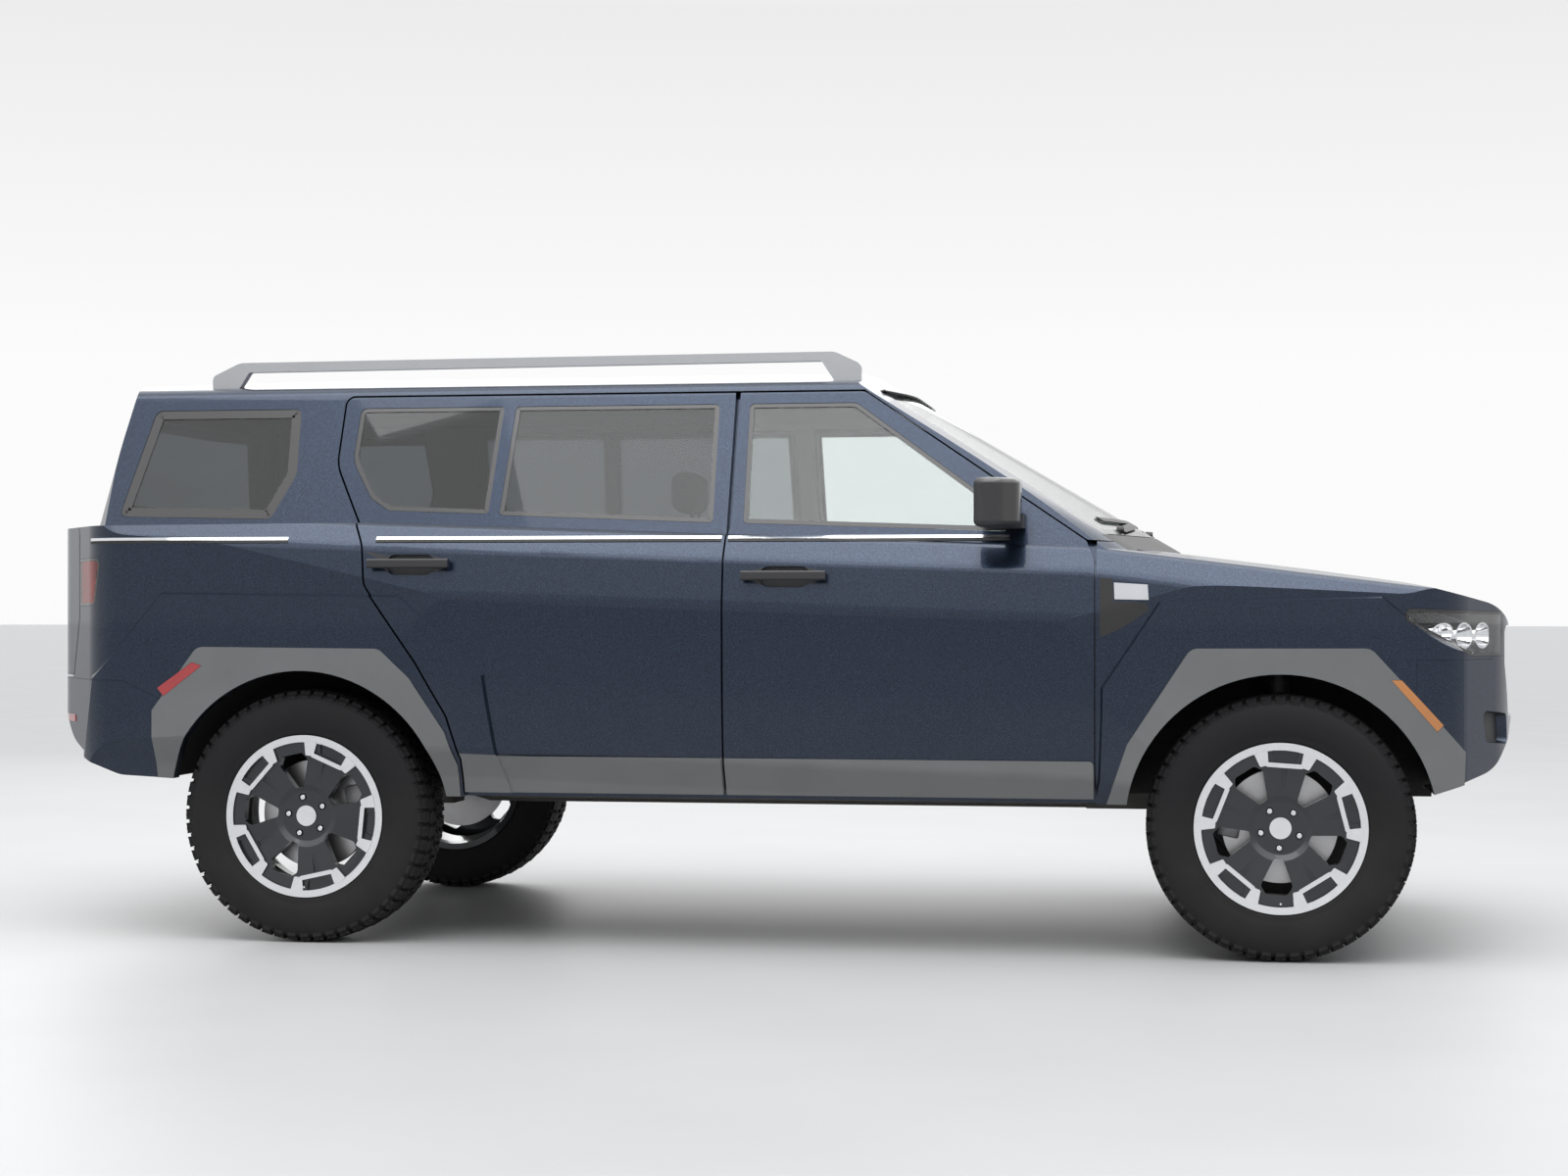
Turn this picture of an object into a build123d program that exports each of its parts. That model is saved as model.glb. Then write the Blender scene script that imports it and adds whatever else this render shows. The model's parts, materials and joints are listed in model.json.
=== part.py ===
from build123d import *
from math import radians, tan
import os

# Five-door sport utility vehicle, in millimetres.  +X is forward, +Y is the vehicle's left and +Z is up.
# The origin is on the ground, in the middle of the length and the width.
#
# The body is one smooth hull.  The hull is made again at several depths below its outer face; a layer
# between two depths is a panel, a frame or a pane, and an outline pushed through the layer gives it its
# edges.  So every panel follows the same surface, and neighbours share outlines with a named gap.

# ------------------------------------------------------------------ driving dimensions
LENGTH = 4570.0
HALF_WIDTH = 945.0
WHEELBASE = 2900.0
FRONT_OVERHANG = 710.0
ROOF_Z = 1752.0
BELT_Z = 1215.0
FLOOR_Z = 480.0
LOAD_FLOOR_Z = 735.0
UNDERSIDE_Z = 445.0

TYRE_RADIUS = 382.0
TYRE_WIDTH = 235.0
TYRE_INSET = 19.5
RIM_RADIUS = 245.0
ARCH_CLEARANCE = 58.0
LINER_SETBACK = 34.0
LINER_WALL = 8.0
SPINDLE_RADIUS = 32.0
SPINDLE_PLAY = 0.5
KNUCKLE_PLAY = 6.0
DISC_RADIUS = 165.0
DISC_WIDTH = 26.0

SKIN = 28.0
UPPER_SKIN = 20.0
WALL = 105.0
UPPER_WALL = 70.0
ROOF_DEPTH = 40.0
SEAM = 35.0
CLADDING = 8.0
FLARE = 14.0
ARCH_CLADDING = 6.0
GLASS_SINK = 4.0
GLASS = 5.0
LENS = 6.0
LAMP_RIM = 8.0

PANEL_GAP = 6.0
FRAME_GAP = 14.0
DOOR_CLEARANCE = 8.0
SEAT_GAP = 0.3
STATIC_GAP = 0.8

# ------------------------------------------------------------------ places that follow from them
NOSE = LENGTH / 2
TAIL = -LENGTH / 2
AHEAD = NOSE + 315
BEHIND = TAIL - 315
BEYOND = HALF_WIDTH + 355
FRONT_AXLE_X = NOSE - FRONT_OVERHANG
REAR_AXLE_X = FRONT_AXLE_X - WHEELBASE
WHEEL_Y = HALF_WIDTH - TYRE_INSET - TYRE_WIDTH / 2
KINGPIN_Y = WHEEL_Y - TYRE_WIDTH / 2 - 0.5
STRUT_Y = KINGPIN_Y - 82
SPINDLE_END = WHEEL_Y + 60
HUB_CARRIER_Y = KINGPIN_Y - 50
FRONT_LINER_Y = HALF_WIDTH - 493
REAR_LINER_Y = HALF_WIDTH - 385
LOAD_FLOOR_UNDER = LOAD_FLOOR_Z - 35 - SEAT_GAP
BEAD_Y = TYRE_WIDTH / 2 - 16.3
ARCH_RADIUS = TYRE_RADIUS + ARCH_CLEARANCE
LINER_RADIUS = ARCH_RADIUS + LINER_SETBACK
KNUCKLE_FOOT = TYRE_RADIUS - 112
ARM_TOP = KNUCKLE_FOOT - KNUCKLE_PLAY
FRONT_SHUT = FRONT_AXLE_X - 528
CENTRE_SHUT = FRONT_SHUT - 1085
FIREWALL_X = FRONT_AXLE_X - 514
DOOR_TOP = ROOF_Z - 90
GLASS_TOP = ROOF_Z - 124
TAILGATE_TOP = ROOF_Z - 52
TAILGATE_FRONT = TAIL + 385

os.makedirs("parts", exist_ok=True)


# ------------------------------------------------------------------ outlines
def outline(*corners):
    """Closed outline through corners given as (x, y) or (x, y, radius of the rounding).

    A rounding is no larger than its two edges leave room for.
    """
    points = [Vector(*corner[:2]) for corner in corners]
    face = Face(Wire.make_polygon(points, close=True))
    for place, corner in enumerate(corners):
        if len(corner) == 3:
            before, here, after = points[place - 1], points[place], points[(place + 1) % len(points)]
            turn = (before - here).get_angle(after - here)
            reach = 0.45 * min((before - here).length, (after - here).length)
            nearest = face.vertices().sort_by_distance(here)[0]
            face = face.fillet_2d(min(corner[2], reach * tan(radians(turn / 2))), [nearest])
    return face


def grown(face, amount):
    """The same outline moved outward by an amount, or inward if it is negative."""
    with BuildSketch(mode=Mode.PRIVATE) as shape:
        add(face)
        offset(amount=amount, kind=Kind.INTERSECTION)
    return shape.sketch.faces()[0]


def both_sides(*half):
    """Corners of a half outline, followed by their mirror images across the second value."""
    return [*half, *[(corner[0], -corner[1], *corner[2:]) for corner in reversed(half)]]


def right_and_left(*half):
    """Corners of a half outline, followed by their mirror images across the first value.

    A corner on the middle line comes once.
    """
    return [*half, *[(-corner[0], *corner[1:]) for corner in reversed(half) if corner[0]]]


# ------------------------------------------------------------------ steps used inside a piece
def push_side(face, near, far, mode=Mode.ADD, taper=0):
    """Outline in X and Z, pushed through from Y = -near out to Y = -far on the right-hand side."""
    with BuildSketch(Plane.XZ.offset(near)) as profile:
        add(face)
    extrude(profile.sketch, amount=far - near, taper=taper, mode=mode)


def push_across(face, mode=Mode.ADD):
    """Outline in X and Z, pushed through the whole width."""
    push_side(face, -BEYOND, BEYOND, mode)


def push_up(face, low, high, mode=Mode.ADD):
    """Outline in X and Y, pushed through from one height to another."""
    with BuildSketch(Plane.XY.offset(low)) as profile:
        add(face)
    extrude(profile.sketch, amount=high - low, mode=mode)


def push_forward(face, rear, front, mode=Mode.ADD):
    """Outline in Y and Z, pushed through from one place along the length to another."""
    with BuildSketch(Plane(origin=(rear, 0, 0), x_dir=(0, 1, 0), z_dir=(1, 0, 0))) as profile:
        add(face)
    extrude(profile.sketch, amount=front - rear, mode=mode)


def block(x0, x1, y0, y1, z0, z1, mode=Mode.ADD):
    """Plain block between two corners."""
    with Locations(((x0 + x1) / 2, (y0 + y1) / 2, (z0 + z1) / 2)):
        Box(x1 - x0, abs(y1 - y0), z1 - z0, mode=mode)


def bar_across(x, z, radius, y0, y1, mode=Mode.ADD):
    """Round bar lying across the vehicle."""
    with Locations(Location((x, min(y0, y1), z), (-90, 0, 0))):
        Cylinder(radius, abs(y1 - y0), align=(Align.CENTER, Align.CENTER, Align.MIN), mode=mode)


def bar_upright(x, y, radius, low, high):
    """Round bar standing up."""
    with Locations((x, y, low)):
        Cylinder(radius, high - low, align=(Align.CENTER, Align.CENTER, Align.MIN))


def layer(outer, inner):
    """What lies between two solids, one inside the other."""
    with BuildPart() as between:
        add(outer)
        add(inner, mode=Mode.SUBTRACT)
    return between.part


def joined(first, second):
    """Two solids as one."""
    with BuildPart() as both:
        add(first)
        add(second)
    return both.part


def other_side(part):
    """The same piece on the vehicle's left."""
    return mirror(part, about=Plane.XZ, mode=Mode.PRIVATE)


def largest(part):
    """The largest solid of a cut piece."""
    return Part() + part.solids().sort_by(SortBy.VOLUME)[-1]


def save(part, name):
    """Label a piece and write it."""
    part.label = name
    export_step(part, f"parts/{name}.step")


# ------------------------------------------------------------------ hull
def lower_body(depth):
    """Everything below the windows, at some depth under its outer face."""
    d = depth
    side = outline(
        (NOSE - d, 690, 80), (NOSE - d, 840, 120), (NOSE - 42 - d, 1010 - d, 130),
        (NOSE - 350, 1085 - d, 500),
        (FRONT_SHUT + 43, 1212 - d, 900), (REAR_AXLE_X + 325, 1270 - d), (TAIL + 40 + d, 1262 - d, 50),
        (TAIL + d, 1000, 300), (TAIL + 2 + d, 780, 150), (TAIL + 130 + d, 600, 120),
        (TAIL + 360, 500, 100),
        (REAR_AXLE_X + 425, UNDERSIDE_Z), (FRONT_AXLE_X - 325, UNDERSIDE_Z), (NOSE - 330, 468, 150),
        (NOSE - 90 - d, 540, 100),
    )
    w = HALF_WIDTH - d
    plan = outline(*both_sides(
        (NOSE - d, 240, 1200), (NOSE - 46 - d, w - 385 + d, 350), (NOSE - 250 - d, w - 60, 260),
        (FRONT_SHUT - 47, w, 3000), (REAR_AXLE_X + 425, w, 3000), (TAIL + 300 + d, w - 30, 200),
        (TAIL + 60 + d, w - 330, 260), (TAIL + d, 280, 1200),
    ))
    section = outline(*right_and_left(
        (w - 130, 200), (w - 62, 440, 60), (w - 22, 520, 60), (w - 6, 700, 900), (w, 980, 200),
        (w - 20, 1120, 60),
        (w - 75, 1192 - d * 0.6, 40), (w - 330, 1206 - d, 200), (0, 1212 - d),
    ))
    station = Plane(origin=(FRONT_SHUT - 27, 0, 0), x_dir=(0, 1, 0), z_dir=(1, 0, 0))
    with BuildPart() as body:
        for reach, fall in ((LENGTH / 3, -0.125), (-LENGTH * 0.77, -0.036)):
            with BuildSketch(station) as profile:
                add(section)
            extrude(profile.sketch, amount=abs(reach), dir=Vector(reach, 0, fall * reach).normalized())
        push_across(side, Mode.INTERSECT)
        push_up(plan, 0, 1500, Mode.INTERSECT)
    return body.part


def upper_body(depth):
    """Windows, pillars and roof, at some depth under their outer face."""
    d = depth
    w = HALF_WIDTH
    base = BELT_Z - 55 - 1.4 * d
    section = outline(*right_and_left(
        (w - 65 - 0.46 * d, base), (w - 269 - d, ROOF_Z - 60 - d * 0.5, 70), (380, ROOF_Z - 8 - d, 900),
        (0, ROOF_Z - d),
    ))
    side = outline(
        (NOSE - 585, base), (NOSE - 585, 1180), (FRONT_SHUT - 407, ROOF_Z - 52 - d, 500),
        (FRONT_SHUT - 897, ROOF_Z + 4 - d, 2000), (REAR_AXLE_X + 425, ROOF_Z + 4 - d, 3000),
        (TAIL + 205 + d, ROOF_Z - 40 - d, 30), (TAIL + 70 + d, BELT_Z - 55), (TAIL + 60 + d, base),
    )
    screen = outline(*both_sides(
        (TAIL - 315, 1100), (FRONT_SHUT + 103 - d, 1100), (FRONT_SHUT + 413 - d * 1.7, w - 145, 220),
        (FRONT_SHUT + 548 - d * 2, 330, 900),
    ))
    stern = outline(*both_sides(
        (NOSE + 315, 1100), (TAIL + 391 + d, 1100), (TAIL + 161 + d, w - 185, 220),
        (TAIL + 16 + d, 330, 900),
    ))
    with BuildPart() as body:
        push_forward(section, TAIL - 315, NOSE + 315)
        push_across(side, Mode.INTERSECT)
        for slope, lean in ((screen, Vector(-1.695, 0, 1)), (stern, Vector(0.29, 0, 1))):
            with BuildSketch(Plane.XY.offset(1000)) as profile:
                add(slope)
            reach = (ROOF_Z - 852) * lean.length
            extrude(profile.sketch, amount=reach, dir=lean.normalized(), mode=Mode.INTERSECT)
    return body.part


FRONT_FLARE = outline(
    (FRONT_AXLE_X - 565, 380), (FRONT_AXLE_X - 565, 800), (FRONT_AXLE_X - 370, 1082),
    (FRONT_AXLE_X + 297, 1082),
    (FRONT_AXLE_X + 615, 800), (FRONT_AXLE_X + 615, 380),
)
REAR_FLARE = outline(
    (REAR_AXLE_X - 765, 380), (REAR_AXLE_X - 720, 810), (REAR_AXLE_X - 472, 1106),
    (REAR_AXLE_X + 330, 1106),
    (REAR_AXLE_X + 620, 840), (REAR_AXLE_X + 675, 380),
)
with BuildPart() as flares:
    push_side(FRONT_FLARE, HALF_WIDTH - 125, HALF_WIDTH + 75, taper=25)
    push_side(REAR_FLARE, HALF_WIDTH - 125, HALF_WIDTH + 75, taper=25)
    add(lower_body(-FLARE), mode=Mode.INTERSECT)
    mirror(about=Plane.XZ)

LOWER = {d: lower_body(d) for d in (-CLADDING, 0, LENS, SKIN, SKIN + SEAT_GAP, SKIN + PANEL_GAP, 60, WALL)}
LOWER[0] = joined(LOWER[0], flares.part)
UPPER = {d: upper_body(d) for d in (0, GLASS_SINK, GLASS_SINK + GLASS, UPPER_SKIN, UPPER_SKIN + PANEL_GAP,
                                    ROOF_DEPTH, UPPER_WALL)}
OUTSIDE = joined(LOWER[0], UPPER[0])
UNDER_SKIN = joined(LOWER[SKIN], UPPER[UPPER_SKIN])
FRAME_FACE = joined(LOWER[SKIN + PANEL_GAP], UPPER[UPPER_SKIN + PANEL_GAP])
CABIN = joined(LOWER[WALL], UPPER[UPPER_WALL])

SKIN_LAYER = layer(OUTSIDE, UNDER_SKIN)
FRAME_LAYER = layer(FRAME_FACE, CABIN)
CORE_LAYER = layer(UNDER_SKIN, CABIN)
LAP_LAYER = layer(UNDER_SKIN, FRAME_FACE)
WALL_LAYER = layer(OUTSIDE, CABIN)
LOWER_SKIN = layer(LOWER[0], LOWER[SKIN])
CLADDING_LAYER = layer(LOWER[-CLADDING], LOWER[0])
GLASS_LAYER = layer(UPPER[GLASS_SINK], UPPER[GLASS_SINK + GLASS])
ROOF_LAYER = layer(UPPER[0], UPPER[ROOF_DEPTH])


# ------------------------------------------------------------------ where the panels meet
def pillar_x(z):
    """The door's sloping front edge beside the windscreen."""
    return FRONT_SHUT - 25 - 1.469 * (z - 1206)


FRONT_DOOR = outline(
    (FRONT_SHUT, 458, 20), (FRONT_SHUT, 1150, 60), (FRONT_SHUT - 25, 1206, 20),
    (pillar_x(DOOR_TOP), DOOR_TOP, 30),
    (CENTRE_SHUT + 12, DOOR_TOP), (CENTRE_SHUT + 12, 1262), (CENTRE_SHUT + PANEL_GAP / 2, 1230),
    (CENTRE_SHUT + PANEL_GAP / 2, 458, 20),
)
REAR_DOOR = outline(
    (CENTRE_SHUT - PANEL_GAP / 2, 458, 20), (CENTRE_SHUT - PANEL_GAP / 2, DOOR_TOP),
    (REAR_AXLE_X + 63, DOOR_TOP, 25), (REAR_AXLE_X + 59, 1450, 120), (REAR_AXLE_X + 129, 1312, 120),
    (REAR_AXLE_X + 187, 1200, 80), (REAR_AXLE_X + 197, 1080, 60), (REAR_AXLE_X + 360, 850, 200),
    (REAR_AXLE_X + 453, 690, 60), (REAR_AXLE_X + 493, 560), (REAR_AXLE_X + 493, 458),
)
with BuildSketch() as behind_the_doors:
    with Locations(((TAIL - 115 + REAR_AXLE_X + 487) / 2, (400 + ROOF_Z - 84) / 2)):
        Rectangle(REAR_AXLE_X + 487 - TAIL + 115, ROOF_Z - 484)
    add(grown(REAR_DOOR, PANEL_GAP), mode=Mode.SUBTRACT)
QUARTER = behind_the_doors.sketch.faces().sort_by(Axis.X)[0]
FRONT_DOOR_GLASS = outline(
    (CENTRE_SHUT + 46, 1262, 12), (CENTRE_SHUT + 42, GLASS_TOP, 15),
    (pillar_x(GLASS_TOP) - 72, GLASS_TOP, 40),
    (FRONT_SHUT - 175, 1232, 30),
)
REAR_DOOR_GLASS = outline(
    (CENTRE_SHUT - 46, 1264, 12), (CENTRE_SHUT - 50, GLASS_TOP, 15), (REAR_AXLE_X + 603, GLASS_TOP, 12),
    (REAR_AXLE_X + 583, 1290, 12),
)
REAR_DOOR_LIGHT = outline(
    (REAR_AXLE_X + 549, 1294, 12), (REAR_AXLE_X + 567, GLASS_TOP, 12), (REAR_AXLE_X + 110, GLASS_TOP, 20),
    (REAR_AXLE_X + 104, 1460, 110), (REAR_AXLE_X + 175, 1345, 60), (REAR_AXLE_X + 235, 1306, 30),
)
QUARTER_GLASS = outline(
    (REAR_AXLE_X - 137, 1282, 20), (REAR_AXLE_X - 71, 1420, 80), (REAR_AXLE_X - 83, GLASS_TOP, 20),
    (TAIL + 405, GLASS_TOP, 25), (TAIL + 333, 1292, 20),
)
TAILGATE = outline(*right_and_left(
    (HALF_WIDTH - 385, TAILGATE_TOP), (HALF_WIDTH - 277, 1560, 30), (HALF_WIDTH - 193, 1240, 60),
    (HALF_WIDTH - 193, 980, 60), (HALF_WIDTH - 245, 800, 20),
))
TAILGATE_GLASS = outline(*right_and_left((HALF_WIDTH - 425, ROOF_Z - 122, 30),
(HALF_WIDTH - 273, 1300, 50)))
WINDSCREEN = outline(*right_and_left((HALF_WIDTH - 355, ROOF_Z - 80, 40), (HALF_WIDTH - 133, 1226, 30)))
BONNET = outline(*both_sides(
    (NOSE - 125, HALF_WIDTH - 525, 200), (NOSE - 235, HALF_WIDTH - 240, 60),
    (FRONT_AXLE_X - 413, HALF_WIDTH - 170, 20), (FRONT_AXLE_X - 285, HALF_WIDTH - 565, 300),
))
HEAD_LAMP = outline(
    (NOSE - 360, 975, 15), (NOSE - 165, 872, 20), (AHEAD, 872), (AHEAD, 985), (NOSE - 360, 1010, 15),
)
TAIL_LAMP = outline((TAIL + 275, 1020, 20), (BEHIND, 1000), (BEHIND, 1150), (TAIL + 300, 1165, 20))
FRONT_BUMPER = outline((NOSE - 330, 300), (NOSE - 330, 862), (AHEAD, 862), (AHEAD, 300))
REAR_BUMPER = outline(
    (REAR_AXLE_X - 375, 300), (REAR_AXLE_X - 375, 700), (TAILGATE_FRONT, 790), (BEHIND, 790),
    (BEHIND, 300),
)
GRILLE = outline(*right_and_left(
    (HALF_WIDTH - 445, 690, 40), (HALF_WIDTH - 385, 850, 40), (HALF_WIDTH - 385, 960, 30),
))
LOWER_INTAKE = outline(*right_and_left((HALF_WIDTH - 565, 560, 20), (HALF_WIDTH - 525, 640, 20)))
FOG_RECESS = outline((HALF_WIDTH - 420, 610, 20), (HALF_WIDTH - 405, 700, 20),
(HALF_WIDTH - 250, 715, 20),
                     (HALF_WIDTH - 270, 620, 20))
FRONT_TRIM = outline(
    (FRONT_AXLE_X - 433, 620), (FRONT_AXLE_X - 253, 895, 40), (FRONT_AXLE_X + 252, 896, 40),
    (FRONT_AXLE_X + 521, 600), (FRONT_AXLE_X + 515, 440), (FRONT_AXLE_X - 495, 440),
)
REAR_TRIM = outline(
    (REAR_AXLE_X - 475, 560), (REAR_AXLE_X - 475, 700), (REAR_AXLE_X - 330, 893, 40),
    (REAR_AXLE_X + 245, 889, 40),
    (REAR_AXLE_X + 340, 800, 60), (REAR_AXLE_X + 445, 640), (REAR_AXLE_X + 479, 540),
    (REAR_AXLE_X + 479, 440),
    (REAR_AXLE_X - 475, 440),
)
FRONT_MARKER = outline(
    (FRONT_AXLE_X + 309, 806), (FRONT_AXLE_X + 337, 806), (FRONT_AXLE_X + 455, 678),
    (FRONT_AXLE_X + 437, 660),
)
REAR_MARKER = outline(
    (REAR_AXLE_X - 315, 836), (REAR_AXLE_X - 345, 846), (REAR_AXLE_X - 457, 768),
    (REAR_AXLE_X - 437, 744),
)


# ------------------------------------------------------------------ doors
def door(face, windows, strip, handle_at):
    """Outer skin, inner box and window frame in one, with its handle and sill strip lying on it."""
    with BuildPart() as inner_box:
        add(CORE_LAYER)
        push_side(grown(face, -SEAM), 500, BEYOND, Mode.INTERSECT)
        block(BEHIND, AHEAD, -BEYOND, 0, 0, BELT_Z, Mode.INTERSECT)
    with BuildPart() as panel:
        add(SKIN_LAYER)
        push_side(face, 400, BEYOND, Mode.INTERSECT)
        add(inner_box.part)
        for window in windows:
            push_side(window, 300, BEYOND, Mode.SUBTRACT)
        push_side(hand_cup(*handle_at), HALF_WIDTH - 30, BEYOND, Mode.SUBTRACT)
    return joined(joined(panel.part, sill_strip(*strip)), handle(*handle_at))


def hand_cup(x, z):
    """Outline of the hollow for the fingers behind a handle."""
    with BuildSketch() as cup:
        with Locations((x, z - 4)):
            RectangleRounded(150, 62, 28)
    return cup.sketch.faces()[0]


def sill_strip(front, rear):
    """Unpainted strip along a door's lower edge."""
    with BuildPart() as strip:
        add(CLADDING_LAYER)
        face = outline((front, 459), (front, 569, 12), (rear, 569, 12), (rear, 459))
        push_side(face, 500, BEYOND, Mode.INTERSECT)
    return strip.part


def handle(x, z):
    """Grab handle standing on two feet."""
    with BuildPart() as grip:
        with Locations((x, -HALF_WIDTH - 17, z)):
            Box(250, 16, 28)
        fillet(grip.edges().filter_by(Axis.X), 6)
        for end in (-105, 105):
            with Locations((x + end, -HALF_WIDTH + 5, z)):
                Box(30, 36, 20)
    return grip.part


def door_glass(windows):
    """Panes set a little under the door's outer face."""
    with BuildPart() as panes:
        for window in windows:
            push_side(grown(window, -SEAT_GAP), 300, BEYOND)
        add(GLASS_LAYER, mode=Mode.INTERSECT)
    return panes.part


DOORS = (
    (
        "front_door", FRONT_DOOR, (FRONT_DOOR_GLASS,), (FRONT_SHUT - 2, CENTRE_SHUT + 5),
        (CENTRE_SHUT + 185, 1106),
    ),
    (
        "rear_door", REAR_DOOR, (REAR_DOOR_GLASS, REAR_DOOR_LIGHT), (CENTRE_SHUT - 5, REAR_AXLE_X + 499),
        (REAR_AXLE_X + 338, 1144),
    ),
)
for name, face, windows, strip, handle_at in DOORS:
    panel = door(face, windows, strip, handle_at)
    panes = door_glass(windows)
    save(panel, f"{name}_right")
    save(other_side(panel), f"{name}_left")
    save(panes, f"{name}_glass_right")
    save(other_side(panes), f"{name}_glass_left")


# ------------------------------------------------------------------ body sides
def arch(axle_x, radius, near=300, mode=Mode.SUBTRACT):
    """Space of one wheel arch on the right-hand side."""
    bar_across(axle_x, TYRE_RADIUS, radius, -BEYOND, -near, mode)


with BuildPart() as lap:
    add(LAP_LAYER)
    push_side(grown(QUARTER, -40), 0.5, BEYOND, Mode.INTERSECT)
with BuildPart() as quarter_skin:
    add(SKIN_LAYER)
    push_side(QUARTER, 0.5, BEYOND, Mode.INTERSECT)
with BuildPart() as screen_pillar:
    add(WALL_LAYER)
    push_side(outline(
        (FRONT_SHUT + 53, 1206), (FRONT_SHUT - 21, 1209), (pillar_x(DOOR_TOP), ROOF_Z - 84),
        (pillar_x(DOOR_TOP) + 148, ROOF_Z - 84), (FRONT_SHUT + 253, 1206),
    ), 400, BEYOND, Mode.INTERSECT)
with BuildPart() as body_side:
    add(FRAME_LAYER)
    block(BEHIND, FRONT_SHUT + 38, -BEYOND, -0.5, 440, ROOF_Z - 84, Mode.INTERSECT)
    push_side(grown(FRONT_DOOR, FRAME_GAP - SEAM), 300, BEYOND, Mode.SUBTRACT)
    push_side(grown(REAR_DOOR, FRAME_GAP - SEAM), 300, BEYOND, Mode.SUBTRACT)
    add(lap.part)
    arch(REAR_AXLE_X, LINER_RADIUS + SEAT_GAP, 0.5)
    for hinge_x in (FRONT_SHUT - SEAM, CENTRE_SHUT - PANEL_GAP / 2 - SEAM):
        for hinge_z in (620, 980):
            block(hinge_x + SEAT_GAP, hinge_x + 18, 50 - HALF_WIDTH, 95 - HALF_WIDTH, hinge_z, hinge_z + 60)
    add(quarter_skin.part)
    add(screen_pillar.part)
    arch(REAR_AXLE_X, ARCH_RADIUS)
    push_side(QUARTER_GLASS, 300, BEYOND, Mode.SUBTRACT)
    push_forward(WINDSCREEN, -300, FRONT_AXLE_X + 25, Mode.SUBTRACT)
    block(FRONT_SHUT - 47, FRONT_AXLE_X - 75, 138.2 - HALF_WIDTH, 0, 1000, 1226, Mode.SUBTRACT)
    push_forward(grown(TAILGATE, PANEL_GAP), BEHIND, TAILGATE_FRONT + PANEL_GAP, Mode.SUBTRACT)
    push_side(grown(REAR_BUMPER, STATIC_GAP), 0, BEYOND, Mode.SUBTRACT)
    push_side(grown(TAIL_LAMP, STATIC_GAP), HALF_WIDTH - 188, BEYOND, Mode.SUBTRACT)
save(body_side.part, "body_side_right")

save(other_side(body_side.part), "body_side_left")

# ------------------------------------------------------------------ roof, glass and lids
with BuildPart() as roof:
    add(ROOF_LAYER)
    block(BEHIND, AHEAD, -BEYOND, BEYOND, ROOF_Z - 84 + SEAT_GAP, ROOF_Z + 150, Mode.INTERSECT)
    push_forward(WINDSCREEN, -300, FRONT_AXLE_X + 25, Mode.SUBTRACT)
    push_forward(grown(TAILGATE, PANEL_GAP), BEHIND, TAILGATE_FRONT + PANEL_GAP, Mode.SUBTRACT)
    for leaf_y in (-360, 360):
        block(TAIL + 225, TAIL + 250, leaf_y - 30, leaf_y + 30, TAILGATE_TOP + SEAT_GAP, TAILGATE_TOP + 10)
save(roof.part, "roof_panel")

with BuildPart() as fixed_glass:
    push_side(grown(QUARTER_GLASS, -SEAT_GAP), 300, BEYOND)
    mirror(about=Plane.XZ)
    push_forward(grown(WINDSCREEN, -SEAT_GAP), -300, FRONT_AXLE_X + 25)
    add(GLASS_LAYER, mode=Mode.INTERSECT)
save(fixed_glass.part, "fixed_glass")

with BuildPart() as tailgate_glass:
    add(GLASS_LAYER)
    push_forward(grown(TAILGATE_GLASS, -SEAT_GAP), BEHIND, TAILGATE_FRONT, Mode.INTERSECT)
save(tailgate_glass.part, "tailgate_glass")

# The number plate lies in a shallow recess with two holes for its screws.
PLATE_Z = 905
PLATE_X = TAIL + 12
with BuildPart() as tailgate_core:
    add(CORE_LAYER)
    push_forward(grown(TAILGATE, -SEAM), BEHIND, TAILGATE_FRONT, Mode.INTERSECT)
    block(BEHIND, AHEAD, -BEYOND, BEYOND, 0, BELT_Z, Mode.INTERSECT)
with BuildPart() as tailgate:
    add(SKIN_LAYER)
    push_forward(TAILGATE, BEHIND, TAILGATE_FRONT, Mode.INTERSECT)
    add(tailgate_core.part)
    push_forward(TAILGATE_GLASS, BEHIND, TAILGATE_FRONT, Mode.SUBTRACT)
    block(BEHIND, PLATE_X, -275, 275, PLATE_Z - 62, PLATE_Z + 62, Mode.SUBTRACT)
    with Locations(*[Location((PLATE_X, y, PLATE_Z), (0, 90, 0)) for y in (-89, 89)]):
        Cylinder(3.5, 25, align=(Align.CENTER, Align.CENTER, Align.MIN), mode=Mode.SUBTRACT)
save(tailgate.part, "tailgate")

with BuildPart() as bonnet:
    add(LOWER_SKIN)
    push_up(BONNET, 1012, 1400, Mode.INTERSECT)
save(bonnet.part, "bonnet")

with BuildPart() as cowl:
    add(WALL_LAYER)
    block(
        FIREWALL_X + 4, FRONT_AXLE_X - 245, 139 - HALF_WIDTH, HALF_WIDTH - 139, 1080, 1225.5, Mode.INTERSECT,
    )
    push_up(grown(BONNET, PANEL_GAP), 0, 1400, Mode.SUBTRACT)
save(cowl.part, "cowl")

# ------------------------------------------------------------------ front and rear
LAMP_NEAR = HALF_WIDTH - 370
TAIL_LAMP_NEAR = HALF_WIDTH - 188
with BuildPart() as lamp_spaces:
    push_side(grown(HEAD_LAMP, STATIC_GAP), LAMP_NEAR, BEYOND)
    mirror(about=Plane.XZ)
with BuildPart() as wheel_spaces:
    for axle_x in (FRONT_AXLE_X, REAR_AXLE_X):
        arch(axle_x, ARCH_RADIUS, 300, Mode.ADD)
    mirror(about=Plane.XZ)

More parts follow.
